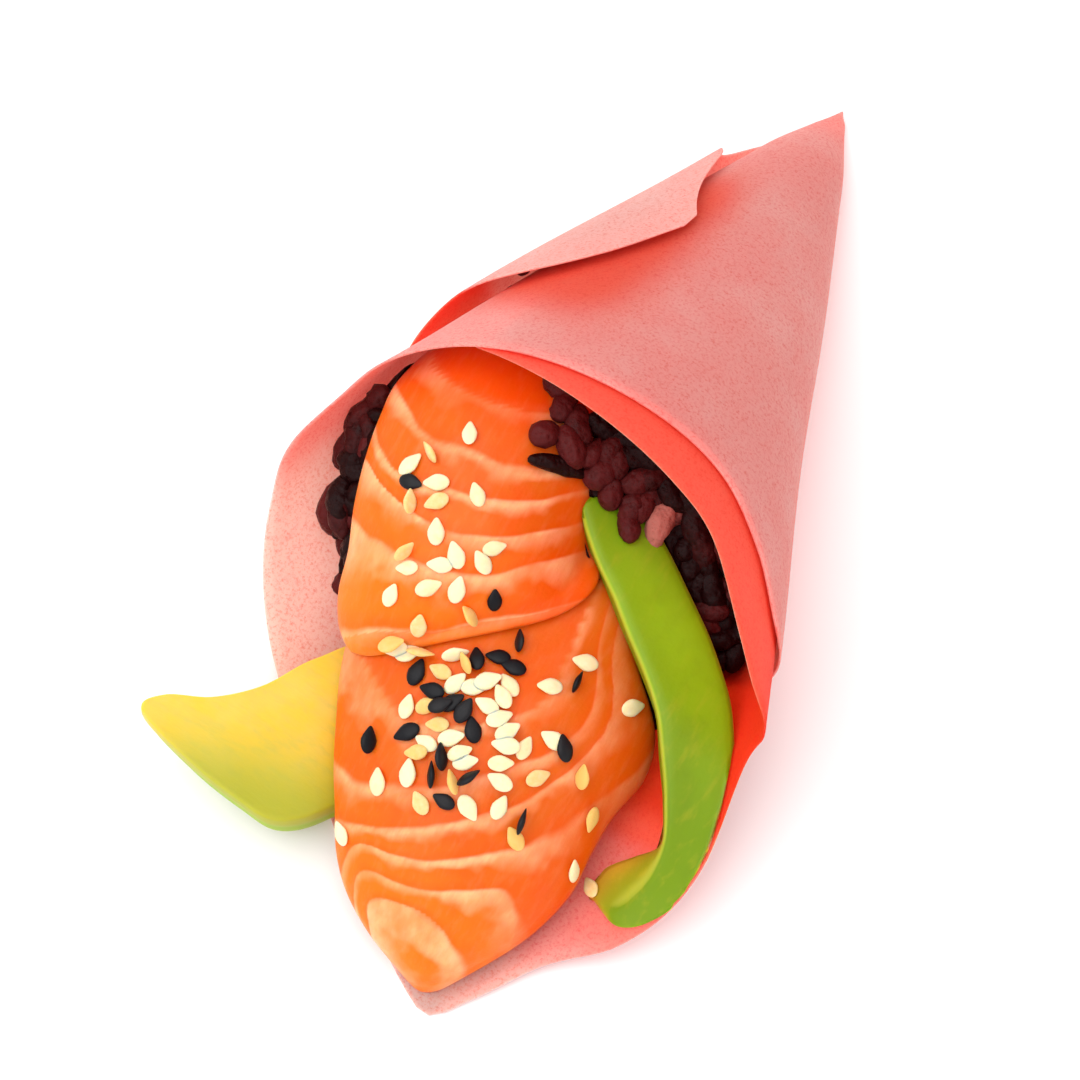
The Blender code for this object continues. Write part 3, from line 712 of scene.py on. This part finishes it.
def paper_look(sizes):
    look = Look("Soy_Paper_Pink")
    specks = look.noise(0.4 * MM, 4, 0.75)
    fibres = look.noise(1.1 * MM, 4, 0.6, look.stretched((1, 0.35, 1), 0.5))
    clouds = look.noise(9 * MM, 3, 0.5)
    tone = look.attribute("tone")
    colour = look.over(sizes.pink, sizes.pale, clouds, 0.35, 0.75, 0.55)
    # Painted light: paler where a single sheet is lit through
    colour = look.over(colour, sizes.bare, tone, 0.0, 1.0)
    # Painted shade over the rice, and deeper painted shade beside the filling and the flap
    colour = look.over(colour, sizes.painted_shade, tone, 0.0, -1.0)
    colour = look.over(colour, sizes.deep_painted_shade, tone, -1.0, -2.0)
    colour = look.mix(look.ramp(specks, 0.46, 0.72), colour, sizes.shade, "MULTIPLY")
    colour = look.mix(look.ramp(fibres, 0.52, 0.8, 0, 0.35), colour, sizes.shade, "MULTIPLY")
    height = look.math("ADD", specks, fibres)
    bump = look.bump(height, 0.06 * MM, 0.5)
    return look.finish(colour, 0.75, bump, shine=0.2, depth=1.8 * MM, bleed=(1.0, 0.7, 0.65))


class HAND_ROLL_OT_paper(bpy.types.Operator):
    """Roll the sheet of pink soy paper"""

    bl_idname = "hand_roll.paper"
    bl_label = "Roll the Paper"

    def execute(self, context):
        sizes = context.scene.hand_roll_paper
        form = sheet_form(FIRST_TURN, LAST_TURN, 370, 56)
        paper = piece_from(form, "Soy_Paper", paper_look(sizes), "soy_paper", "soy_paper_wrapper")
        solid = paper.modifiers.new("Thickness", "SOLIDIFY")
        solid.thickness = sizes.thickness
        solid.offset = 0
        settle_modifiers(paper)
        return {"FINISHED"}


# Salmon

def flake_at(lines, fat, side, share):
    """Number of the flake of flesh at a place, counted from the back, and its fat line."""
    count = len(lines)
    levels = [along(list(zip(LINE_SIDES, line)), side) for line in lines]
    index = 0
    while index < count - 2 and share > levels[index + 1]:
        index += 1
    step = (share - levels[index]) / max(levels[index + 1] - levels[index], 0.01)
    return index + min(max(step, 0), 0.999), fat[index]


def slice_form(stations, lines, fat, nose, relief, lip, below=None):
    """Draped slice with rounded sides and ends, its flakes a little raised at their lines."""
    form = ball(96, 150)
    flake_layer = form.verts.layers.float.new("flake")
    fat_layer = form.verts.layers.float.new("fat")
    turn = math.radians(SLICE_ANGLE)
    across = Vector((math.cos(turn), math.sin(turn), 0))
    for vertex in form.verts:
        share = 0.5 - vertex.co.z / 2
        angle = math.atan2(vertex.co.y, vertex.co.x)
        x, y, crest, width, left_drop, right_drop = station(stations, share)
        blunt = 0.3 + 0.25 * max(math.cos(angle), 0)
        end = max(1 - abs(vertex.co.z) ** (nose if vertex.co.z < 0 else 40), 0) ** blunt
        side = math.cos(angle) * end
        side *= LEFT_TRIM if side < 0 else 1
        profile = max(1 - abs(math.cos(angle)) ** 4, 0) ** (1 / 3) * end
        profile = math.copysign(profile, math.sin(angle))
        drop = (left_drop if side < 0 else right_drop) * side * side * MM
        depth = SLICE_THICKNESS * (1 - 0.35 * side * side)
        spot = Vector((x, y, crest)) * MM + across * (side * width / 2 * MM)
        spot.z += depth * (profile - 1) / 2 - drop
        flake, strength = flake_at(lines, fat, side, share)
        strength *= 1 - 0.75 * smooth((side - 0.6) / 0.3)
        ridge = relief * math.exp(-4 * (flake % 1)) * strength * max(profile, 0)
        spot.z += ridge + 0.25 * MM * rough(spot, 7 * MM) * max(profile, 0)
        if below:
            above = Vector((spot.x, spot.y, 0.1))
            under = below.ray_cast(above, Vector((0, 0, -1)))[0]
            if under is not None:
                spot.z = max(spot.z, under.z + 0.25 * MM + lip * (0.5 + profile / 2) * end)
        vertex.co = spot
        vertex[flake_layer] = flake
        vertex[fat_layer] = strength
    outward(form)
    return form


def salmon_look(name, sizes, dark, light, right):
    """Flesh with pale lines that start sharply and fade down each flake.

    Each of dark, light and right says where that change of colour starts and ends. Dark and right lay
    painted shade, inside the roll and down the slice's right side.
    """
    look = Look(name)
    y = look.axis("Y")
    wander = look.noise(4.5 * MM, 1, 0.4)
    patches = look.noise(7 * MM, 2, 0.5)
    fibres = look.noise(0.9 * MM, 3, 0.6, look.stretched((1, 0.22, 0.6), -math.radians(SLICE_ANGLE)))
    flake = look.drift(look.attribute("flake"), wander, 0.2)
    share = look.math("FRACT", flake)
    width = look.ramp(look.noise(5 * MM, 2, 0.5), 0.3, 0.7, 0.5, 1.5)
    fading = look.ramp(look.math("DIVIDE", share, width), 0.0, 0.45, 1, 0)
    starting = look.ramp(share, 0.88, 1.0)
    line = look.math("MAXIMUM", fading, starting)
    amount = look.math("MULTIPLY", line, look.attribute("fat"))
    amount = look.math("MULTIPLY", amount, look.ramp(patches, 0.3, 0.6, 0.4, 1.0))
    amount = look.math("MULTIPLY", amount, look.ramp(fibres, 0.25, 0.7, 0.7, 1.0))
    colour = look.over(sizes.middle, sizes.light, y, *light)
    colour = look.over(colour, sizes.deep, patches, 0.5, 0.8, 0.35)
    # Painted shade on the lower part of each flake, where the next flake lies over it
    colour = look.over(colour, sizes.deep, share, 0.55, 0.95, 0.3)
    # Painted shade down the right side and inside the roll
    colour = look.over(colour, sizes.deep, look.axis("X"), *right, 0.6)
    colour = look.over(colour, sizes.deep, y, *dark)
    colour = look.over(colour, sizes.fat, fibres, 0.45, 0.75, 0.06)
    colour = look.mix(amount, colour, sizes.fat)
    bump = look.bump(fibres, 0.18 * MM, 0.5)
    bump = look.bump(look.noise(0.35 * MM, 2), 0.05 * MM, 0.4, bump)
    return look.finish(
        colour, 0.38, bump, shine=0.13, coat=0.06, coat_roughness=0.18,
        depth=1.3 * MM, bleed=(1.0, 0.3, 0.12),
    )


class HAND_ROLL_OT_salmon(bpy.types.Operator):
    """Drape the two slices of salmon"""

    bl_idname = "hand_roll.salmon"
    bl_label = "Drape the Salmon"

    def execute(self, context):
        sizes = context.scene.hand_roll_salmon
        gap = context.scene.hand_roll_paper.gap
        wall = inner_wall()
        lower = slice_form(LOWER_SLICE, LOWER_LINES, LOWER_FAT, LOWER_NOSE, sizes.relief, sizes.lip)
        keep_inside(lower, wall, gap)
        # dark and right place the painted shade inside the roll and on the right side
        look = salmon_look(
            "Salmon_Lower", sizes, dark=(4 * MM, 30 * MM), light=(-50 * MM, -63 * MM),
            right=(13 * MM, 24 * MM),
        )
        piece_from(lower, "Salmon_Lower_Slice", look, "salmon", "salmon_slice_lower")
        upper = slice_form(
            UPPER_SLICE, UPPER_LINES, UPPER_FAT, UPPER_NOSE, sizes.relief, sizes.lip,
            tree_of("Salmon_Lower_Slice"),
        )
        keep_inside(upper, wall, gap)
        look = salmon_look(
            "Salmon_Upper", sizes, dark=(-16 * MM, -2 * MM), light=(-16 * MM, -34 * MM),
            right=(-3 * MM, 6 * MM),
        )
        piece_from(upper, "Salmon_Upper_Slice", look, "salmon", "salmon_slice_upper")
        return {"FINISHED"}


# Avocado

def right_avocado_form():
    """Curved slice, its green edge up and its cut sides leaning to the left."""
    form = ball(56, 110)
    peel_layer = form.verts.layers.float.new("peel")
    side_layer = form.verts.layers.float.new("side")
    for vertex in form.verts:
        share = 0.5 - vertex.co.z / 2
        angle = math.atan2(vertex.co.y, vertex.co.x)
        cosine, sine = math.cos(angle), math.sin(angle)
        radius = (abs(cosine) ** 9 + abs(sine) ** 9) ** (-1 / 9)
        end = max(1 - abs(vertex.co.z) ** 14, 0) ** (1 / 6)
        side, rise = radius * cosine * end, radius * sine * end
        x, y, z, width, depth, lean = station(RIGHT_AVOCADO, share)
        ahead = Vector(station(RIGHT_AVOCADO, min(share + 0.02, 1))[:3])
        behind = Vector(station(RIGHT_AVOCADO, max(share - 0.02, 0))[:3])
        across = (ahead - behind).cross(Vector((0.3, 0, 1))).normalized()
        across *= 1 if across.x > 0 else -1
        # The cut face leans in over the upper half of the depth, then goes straight down
        sunk = 0.5 - rise / 2
        spot = Vector((x, y, z)) + across * (side * width / 2 * (1 - 0.35 * sunk))
        out = min(sunk * 2, 1)
        fall = sunk * 0.9 if sunk < 0.5 else 0.45 + (sunk - 0.5) * 1.1
        spot += Vector((-lean * out, 0.6 * lean * out, -depth * fall))
        spot = spot * MM
        spot += Vector((0.12, 0.08, 0.2)) * MM * rough(spot, 6 * MM, 3)
        vertex.co = spot
        vertex[peel_layer] = rise
        vertex[side_layer] = side
    outward(form)
    return form


def left_avocado_form():
    """Wedge with a flat yellow face, drawn between its outline and its middle."""
    form = ball(96, 60)
    peel_layer = form.verts.layers.float.new("peel")
    side_layer = form.verts.layers.float.new("side")
    middle = sum((Vector(point) for point in LEFT_AVOCADO), Vector()) / len(LEFT_AVOCADO)
    for vertex in form.verts:
        share = math.acos(min(max(vertex.co.z, -1), 1)) / math.pi
        turn = (math.atan2(vertex.co.y, vertex.co.x) / math.tau) % 1
        rim = Vector(station(LEFT_AVOCADO, turn, closed=True))
        if share < LEFT_FACE_SHARE:
            out, level = share / LEFT_FACE_SHARE * LEFT_FACE_OUT, 0
        elif share < LEFT_UNDER_SHARE:
            step = (share - LEFT_FACE_SHARE) / (LEFT_UNDER_SHARE - LEFT_FACE_SHARE)
            out, level = LEFT_FACE_OUT + (1 - LEFT_FACE_OUT) * math.sin(step * math.pi), step
        else:
            out, level = (1 - share) / (1 - LEFT_UNDER_SHARE) * LEFT_FACE_OUT, 1
        out = out if share < 0.5 else out * 0.97
        level = smooth(level)
        spot = middle.lerp(rim, out)
        spot.z = LEFT_FACE_Z - LEFT_FACE_FALL * (spot.x - LEFT_FACE_X) ** 2
        spot = spot * MM
        spot.z -= LEFT_AVOCADO_THICKNESS * (0.05 + 0.95 * level)
        spot.z += 0.3 * MM * rough(spot, 8 * MM, 5) * (1 - level) + 0.25 * MM * (1 - out)
        vertex.co = spot
        vertex[peel_layer] = 1 - 2 * level
        vertex[side_layer] = out
    outward(form)
    return form


def green_avocado_look(sizes):
    """Green outer edge with a pale rim; its cut face turns from yellow-green to a painted shade, reddened
    as by light off the pink paper.
    """
    look = Look("Avocado_Green")
    peel = look.attribute("peel")
    side = look.attribute("side")
    clouds = look.noise(4 * MM, 3, 0.55)
    streaks = look.noise(1.4 * MM, 3, 0.6, look.stretched((1, 0.25, 1), -0.7))
    y = look.axis("Y")
    colour = look.over(sizes.green, sizes.leaf, side, -0.9, 0.1, 0, 0.4)
    colour = look.over(colour, sizes.leaf, clouds, 0.45, 0.75, 0.35)
    colour = look.over(colour, sizes.leaf, y, -20 * MM, -38 * MM, 0.85)
    colour = look.over(colour, sizes.leaf, y, -19 * MM, -10 * MM, 0.7)
    colour = look.over(colour, sizes.yellow, streaks, 0.5, 0.75, 0.12)
    edge = look.math("ABSOLUTE", side)
    rim = look.math("MULTIPLY", look.ramp(edge, 0.86, 0.97, 0, 0.5), look.ramp(peel, 0.4, 0.8))
    colour = look.mix(rim, colour, PALE_RIM)
    flesh = look.over(sizes.leaf, sizes.yellow, clouds, 0.4, 0.7, 0.5, 0.2)
    # Painted shade, reddened by the paper's light, low on the cut face
    flesh = look.over(flesh, sizes.red_shade, peel, -0.1, 0.7, 0, 0.8)
    flesh = look.over(sizes.leaf, flesh, y, -36 * MM, -44 * MM)
    colour = look.over(colour, flesh, peel, 0.88, 0.6)
    bump = look.bump(streaks, 0.15 * MM, 0.4)
    bump = look.bump(look.noise(0.5 * MM, 3), 0.05 * MM, 0.4, bump)
    return look.finish(colour, 0.42, bump, shine=0.22, depth=0.7 * MM, bleed=(0.8, 1.0, 0.2))


def yellow_avocado_look(sizes):
    """Yellow face that turns green towards its lower side."""
    look = Look("Avocado_Yellow")
    peel = look.attribute("peel")
    x = look.axis("X")
    y = look.axis("Y")
    lower = look.math("SUBTRACT", look.math("MULTIPLY", y, -1.0), look.math("MULTIPLY", x, -0.35))
    clouds = look.noise(5 * MM, 3, 0.55)
    streaks = look.noise(1.2 * MM, 3, 0.6, look.stretched((0.3, 1, 1), 0.35))
    colour = look.over(sizes.yellow, PALE_YELLOW, clouds, 0.35, 0.7, 0.45)
    colour = look.over(colour, STREAK_YELLOW, streaks, 0.42, 0.7, 0.45)
    colour = look.over(colour, LOWER_GREEN, lower, 41 * MM, 53 * MM, 0.9)
    colour = look.over(colour, sizes.green, peel, 0.8, -0.4, 0.8)
    bump = look.bump(streaks, 0.15 * MM, 0.4)
    return look.finish(colour, 0.45, bump, shine=0.25, depth=0.7 * MM, bleed=(1.0, 0.8, 0.2))


class HAND_ROLL_OT_avocado(bpy.types.Operator):
    """Set the two slices of avocado"""

    bl_idname = "hand_roll.avocado"
    bl_label = "Set the Avocado"

    def execute(self, context):
        sizes = context.scene.hand_roll_avocado
        gap = context.scene.hand_roll_paper.gap
        wall = inner_wall()
        form = right_avocado_form()
        keep_inside(form, wall, gap)
        right = piece_from(
            form, "Avocado_Right_Slice", green_avocado_look(sizes), "avocado_green", "avocado_slice_right"
        )
        carve(right, ["Salmon_Lower_Slice", "Salmon_Upper_Slice"], AVOCADO_GAP)
        form = left_avocado_form()
        keep_inside(form, wall, gap)
        left = piece_from(
            form, "Avocado_Left_Slice", yellow_avocado_look(sizes), "avocado_yellow", "avocado_slice_left"
        )
        carve(left, ["Salmon_Lower_Slice"], AVOCADO_GAP)
        return {"FINISHED"}


# Rice

def rice_core_form():
    """Heap under the grains: it fills the cone, and slopes down in front."""
    form = ball(72, 90)
    for vertex in form.verts:
        share = 0.5 - vertex.co.z / 2
        angle = math.atan2(vertex.co.x, vertex.co.y)
        y = RICE_BACK_Y + (RICE_FRONT_Y - RICE_BACK_Y) * share
        reach = TIP_Y - y
        toe = math.sqrt(max(1 - max(2 * share - 1, 0) ** 4, 0.1))
        end = max(1 - abs(vertex.co.z) ** 16, 0) ** (1 / 8)
        half_width = (SPREAD * reach + TIP_RADIUS - RICE_MARGIN) * toe
        half_height = RISE * reach + TIP_HALF_HEIGHT - RICE_MARGIN
        middle = (RISE - BOTTOM_FLAT) * reach + TIP_HALF_HEIGHT + layer_offset(OUTER_BOTTOM, reach)
        bare = RICE_LEFT_TAPER * max(RICE_LEFT_START - y, 0) ** 1.5
        x = half_width * math.sin(angle)
        x *= 1 - bare if x < 0 else 1
        z = middle + half_height * math.cos(angle)
        slope = RICE_CREST_Z + RICE_FRONT_FALL * y - RICE_SIDE_FALL * abs(x - RICE_CREST_X)
        slope = min(slope, RICE_LEVEL_Z)
        z = max(min(z, slope * toe), RICE_BOTTOM_Z)
        room = half_width * math.sqrt(max(1 - ((z - middle) / half_height) ** 2, 0.01))
        x = min(max(x, -room), room)
        spot = Vector((x * end, y, 6 * MM + (z - 6 * MM) * end))
        spot.z -= 0.6 * MM * abs(rough(spot, 3 * MM, 9))
        vertex.co = spot
    outward(form)
    return form


def add_grain(form, tint_layer, placing, size, tint, chance):
    """One soft, slightly bent grain with an uneven skin."""
    made = bmesh.ops.create_uvsphere(form, u_segments=12, v_segments=10, radius=1)
    bend = chance.uniform(-0.12, 0.12)
    blunt = chance.uniform(0.0, 0.25)
    seed = chance.uniform(0, 50)
    burst = chance.choice((0.10, 0.18, 0.32))
    for vertex in made["verts"]:
        x, y, z = vertex.co.z, vertex.co.x, vertex.co.y
        taper = 1 - blunt * x * 0.5
        swell = 1 + 0.10 * noise.noise(Vector((x * 2 + seed, y * 1.5, z * 1.5)))
        swell += burst * noise.noise(Vector((x * 4 + seed, y * 2.5, z * 2.5)))
        local = Vector((
            x * size.x / 2,
            y * size.y / 2 * taper * swell + bend * size.x * (x * x - 0.4),
            z * size.z / 2 * taper * swell,
        ))
        vertex.co = placing @ local
        vertex[tint_layer] = tint


def grain_clear(placing, size, wall, trees, margin):
    """Whether the ends and sides of a grain are inside the sheet and outside the slices."""
    for x, y, z in GRAIN_PROBES:
        point = placing @ Vector((x * size.x / 2, y * size.y / 2, z * size.z / 2))
        spot, normal, face, distance = wall.find_nearest(point)
        if distance < margin + WALL / 2 or (point - spot).dot(inward(spot, normal)) < 0:
            return False
        for tree in trees:
            spot, normal, face, distance = tree.find_nearest(point)
            if distance < margin or (point - spot).dot(normal) < 0:
                return False
    return True


def hides(spot, trees):
    """Whether a grain would hide a slice that lies behind it in the picture."""
    ray = (spot - EYE).normalized()
    return any(tree.ray_cast(spot, ray)[0] is not None for tree in trees)


def grain_tint(chance):
    """Shade of a grain: most are black or purple, a few are rose."""
    kind = chance.random()
    if kind < 0.45:
        return chance.uniform(0.0, 0.2)
    if kind < 0.97:
        return chance.uniform(0.25, 0.62)
    return chance.uniform(0.75, 0.95)


def rice_look(sizes, name, core=False):
    look = Look(name)
    tint = look.math("ADD", look.attribute("tint"), 0.2 if core else 0.0)
    clouds = look.noise(1.6 * MM, 3, 0.6)
    tint = look.drift(tint, clouds, 0.35)
    colour = look.over(sizes.black, sizes.purple, tint, 0.15, 0.6)
    colour = look.over(colour, sizes.rose, tint, 0.7, 0.95)
    colour = look.over(colour, sizes.black, look.noise(0.5 * MM, 3, 0.7), 0.5, 0.8, 0.35)
    bump = look.bump(look.cells(0.8 * MM), 0.4 * MM, 0.8)
    bump = look.bump(look.noise(0.4 * MM, 4, 0.7), 0.2 * MM, 0.7, bump)
    roughness = look.ramp(clouds, 0.3, 0.7, 0.25, 0.5)
    return look.finish(colour, roughness, bump, shine=0.1)


class HAND_ROLL_OT_rice(bpy.types.Operator):
    """Heap the black rice, grain by grain"""

    bl_idname = "hand_roll.rice"
    bl_label = "Heap the Rice"

    def execute(self, context):
        sizes = context.scene.hand_roll_rice
        gap = context.scene.hand_roll_paper.gap
        chance = random.Random(sizes.seed)
        wall = inner_wall()
        form = rice_core_form()
        keep_inside(form, wall, gap)
        look = rice_look(sizes, "Black_Rice_Core", True)
        core = piece_from(form, "Black_Rice_Core", look, "black_rice", "black_rice_heap")
        carve(core, SLICES, RICE_GAP)
        base = tree_of("Black_Rice_Core")
        trees = [tree_of(name) for name in SLICES]
        sheet = tree_of("Soy_Paper")
        form = bmesh.new()
        tint_layer = form.verts.layers.float.new("tint")
        spots = []
        for x, y, heading, length, width, tint in SHOWN_GRAINS:
            spot, normal, index = seen_at(x, y, [base, sheet] + trees)
            size = Vector((length, width, width * 0.85)) * MM
            lift = size.z * 0.5 + 0.3 * MM if index == 1 else size.z * 0.3
            placing = placed(spot, normal, in_view(heading), lift)
            add_grain(form, tint_layer, placing, size, tint, chance)
            spots.append(placing.translation)
        for x0, x1, y0, y1, count in GRAIN_PATCHES:
            done = 0
            for attempt in range(count * GRAIN_TRIES):
                if done == count:
                    break
                start = Vector((chance.uniform(x0, x1), chance.uniform(y0, y1), 60)) * MM
                spot, normal = base.ray_cast(start, Vector((0, 0, -1)))[:2]
                if spot is None or normal.z < 0.1:
                    continue
                size = Vector((sizes.length, sizes.width, sizes.width * 0.85)) * chance.uniform(0.7, 1.1)
                size.x *= chance.uniform(0.6, 1.05)
                heading = chance.uniform(0, math.tau)
                ahead = Vector((math.cos(heading), math.sin(heading), chance.uniform(-0.5, 0.5)))
                upper = done > count * UPPER_LAYER
                lift = chance.uniform(1.0, 1.9) * MM if upper else chance.uniform(0.1, 0.8) * MM
                lean = chance.uniform(-0.4, 0.4)
                placing = placed(spot, normal, ahead, lift, lean, chance.uniform(-0.35, 0.35))
                near = 1.9 * MM if upper else 1.6 * MM
                if any((placing.translation - other).length < near for other in spots):
                    continue
                if not grain_clear(placing, size, wall, trees, GRAIN_GAP):
                    continue
                if hides(placing.translation, trees):
                    continue
                add_grain(form, tint_layer, placing, size, grain_tint(chance), chance)
                spots.append(placing.translation)
                done += 1
        outward(form)
        look = rice_look(sizes, "Black_Rice_Grains")
        piece_from(form, "Black_Rice_Grains", look, "black_rice", "black_rice_heap")
        return {"FINISHED"}


# Sesame

def add_seed(form, tint_layer, placing, size, tint):
    """Flat drop-shaped seed, pointed at its far end."""
    made = bmesh.ops.create_uvsphere(form, u_segments=14, v_segments=10, radius=1)
    for vertex in made["verts"]:
        x, y, z = vertex.co.z, vertex.co.x, vertex.co.y
        drop = 1.02 - 0.42 * smooth((x + 0.15) / 1.1)
        rim = 0.8 + 0.2 * abs(y)
        local = Vector((x * size.x / 2, y * drop * size.y / 2, z * drop * rim * size.z / 2))
        vertex.co = placing @ local
        vertex[tint_layer] = tint


def seed_look(name, plain, other, roughness, depth):
    look = Look(name)
    share = look.drift(look.attribute("tint"), look.noise(0.8 * MM, 3, 0.6), 0.5)
    colour = look.over(plain, other, share, 0.1, 1.0)
    bump = look.bump(look.noise(0.25 * MM, 3, 0.6), 0.05 * MM, 0.6)
    return look.finish(colour, roughness, bump, shine=0.18, depth=depth, bleed=(1.0, 0.7, 0.4))


class HAND_ROLL_OT_sesame(bpy.types.Operator):
    """Sprinkle the sesame seeds"""

    bl_idname = "hand_roll.sesame"
    bl_label = "Sprinkle the Sesame"

    def execute(self, context):
        sizes = context.scene.hand_roll_sesame
        chance = random.Random(5)
        trees = [tree_of(name) for name in (*SLICES, "Soy_Paper")]
        spots = []
        pale, dark = bmesh.new(), bmesh.new()
        pale_tint = pale.verts.layers.float.new("tint")
        dark_tint = dark.verts.layers.float.new("tint")
        sprinkled = [(pale, pale_tint, row, chance.uniform(0.0, 0.35)) for row in WHITE_SEEDS]
        sprinkled += [(pale, pale_tint, row, chance.uniform(0.6, 1.0)) for row in GOLDEN_SEEDS]
        sprinkled += [(dark, dark_tint, row, chance.uniform(0.0, 0.6)) for row in BLACK_SEEDS]
        for form, layer, (x, y, heading, on_edge), tint in sprinkled:
            spot, normal = seen_at(x, y, trees)[:2]
            size = Vector((sizes.length, sizes.width, sizes.height)) * chance.uniform(0.92, 1.1)
            close = sum((spot - other).length < SEED_REACH for other in spots)
            half = size.y * 0.42 if on_edge else size.z * 0.4
            lift = half + min(close, 3) * 0.42 * MM
            lean = chance.choice((-1.15, 1.15)) if on_edge else chance.uniform(-0.2, 0.2)
            placing = placed(spot, normal, in_view(heading), lift, lean, chance.uniform(-0.1, 0.1))
            add_seed(form, layer, placing, size, tint)
            spots.append(spot)
        outward(pale)
        outward(dark)
        look = seed_look("Sesame_White", sizes.white, sizes.golden, 0.45, 0.5 * MM)
        piece_from(pale, "Sesame_White_Seeds", look, None, "salmon_slice_upper", "salmon_slice_lower")
        look = seed_look("Sesame_Black", sizes.black, (0.016, 0.014, 0.015), 0.4, 0.0)
        piece_from(dark, "Sesame_Black_Seeds", look, None, "salmon_slice_upper", "salmon_slice_lower")
        return {"FINISHED"}


# Stage

class HAND_ROLL_OT_stage(bpy.types.Operator):
    """Set the camera, the pale floor and the soft light"""

    bl_idname = "hand_roll.stage"
    bl_label = "Set the Stage"

    def execute(self, context):
        sizes = context.scene.hand_roll_stage
        scene = context.scene
        scene.view_settings.view_transform = "Standard"
        camera = bpy.data.objects.new("Camera", bpy.data.cameras.new("Camera"))
        scene.collection.objects.link(camera)
        camera.data.lens = LENS
        camera.data.sensor_width = SENSOR
        camera.data.clip_start = 0.01
        camera.matrix_world = Matrix.Translation(EYE) @ Matrix((RIGHT, UP, BACK)).transposed().to_4x4()
        scene.camera = camera

        look = Look("Stage_Floor")
        form = bmesh.new()
        bmesh.ops.create_grid(form, x_segments=1, y_segments=1, size=FLOOR_HALF)
        mesh = bpy.data.meshes.new("Stage_Floor")
        form.to_mesh(mesh)
        form.free()
        mesh.materials.append(look.finish(sizes.floor, 0.8))
        floor = bpy.data.objects.new("Stage_Floor", mesh)
        scene.collection.objects.link(floor)

        world = bpy.data.worlds.new("Soft_Sky")
        world.use_nodes = True
        sky = world.node_tree.nodes["Background"]
        sky.inputs["Color"].default_value = (1, 1, 1, 1)
        sky.inputs["Strength"].default_value = sizes.sky
        scene.world = world

        lamp = bpy.data.lights.new("Key_Light", "AREA")
        lamp.energy = sizes.key
        lamp.size = KEY_SIZE
        key = bpy.data.objects.new("Key_Light", lamp)
        scene.collection.objects.link(key)
        key.location = KEY_PLACE
        key.rotation_euler = (KEY_PLACE - VIEW_TARGET).to_track_quat("Z", "Y").to_euler()
        return {"FINISHED"}


class HAND_ROLL_PT_panel(bpy.types.Panel):
    """Sizes and colours of the hand roll, and the steps that build it"""

    bl_idname = "HAND_ROLL_PT_panel"
    bl_label = "Hand Roll"
    bl_space_type = "VIEW_3D"
    bl_region_type = "UI"
    bl_category = "Hand Roll"

    def draw(self, context):
        for name, group, operator in STEPS:
            box = self.layout.box()
            box.label(text=operator.bl_label)
            sizes = getattr(context.scene, name)
            for value in group.__annotations__:
                box.prop(sizes, value)
            box.operator(operator.bl_idname)


STEPS = (
    ("hand_roll_paper", HandRollPaper, HAND_ROLL_OT_paper),
    ("hand_roll_salmon", HandRollSalmon, HAND_ROLL_OT_salmon),
    ("hand_roll_avocado", HandRollAvocado, HAND_ROLL_OT_avocado),
    ("hand_roll_rice", HandRollRice, HAND_ROLL_OT_rice),
    ("hand_roll_sesame", HandRollSesame, HAND_ROLL_OT_sesame),
    ("hand_roll_stage", HandRollStage, HAND_ROLL_OT_stage),
)


def register():
    for name, group, operator in STEPS:
        bpy.utils.register_class(group)
        bpy.utils.register_class(operator)
        setattr(bpy.types.Scene, name, PointerProperty(type=group))
    bpy.utils.register_class(HAND_ROLL_PT_panel)


def unregister():
    bpy.utils.unregister_class(HAND_ROLL_PT_panel)
    for name, group, operator in reversed(STEPS):
        delattr(bpy.types.Scene, name)
        bpy.utils.unregister_class(operator)
        bpy.utils.unregister_class(group)


def main():
    register()
    bpy.ops.hand_roll.paper()
    bpy.ops.hand_roll.salmon()
    bpy.ops.hand_roll.avocado()
    bpy.ops.hand_roll.rice()
    bpy.ops.hand_roll.sesame()
    bpy.ops.hand_roll.stage()


if __name__ == "__main__":
    main()
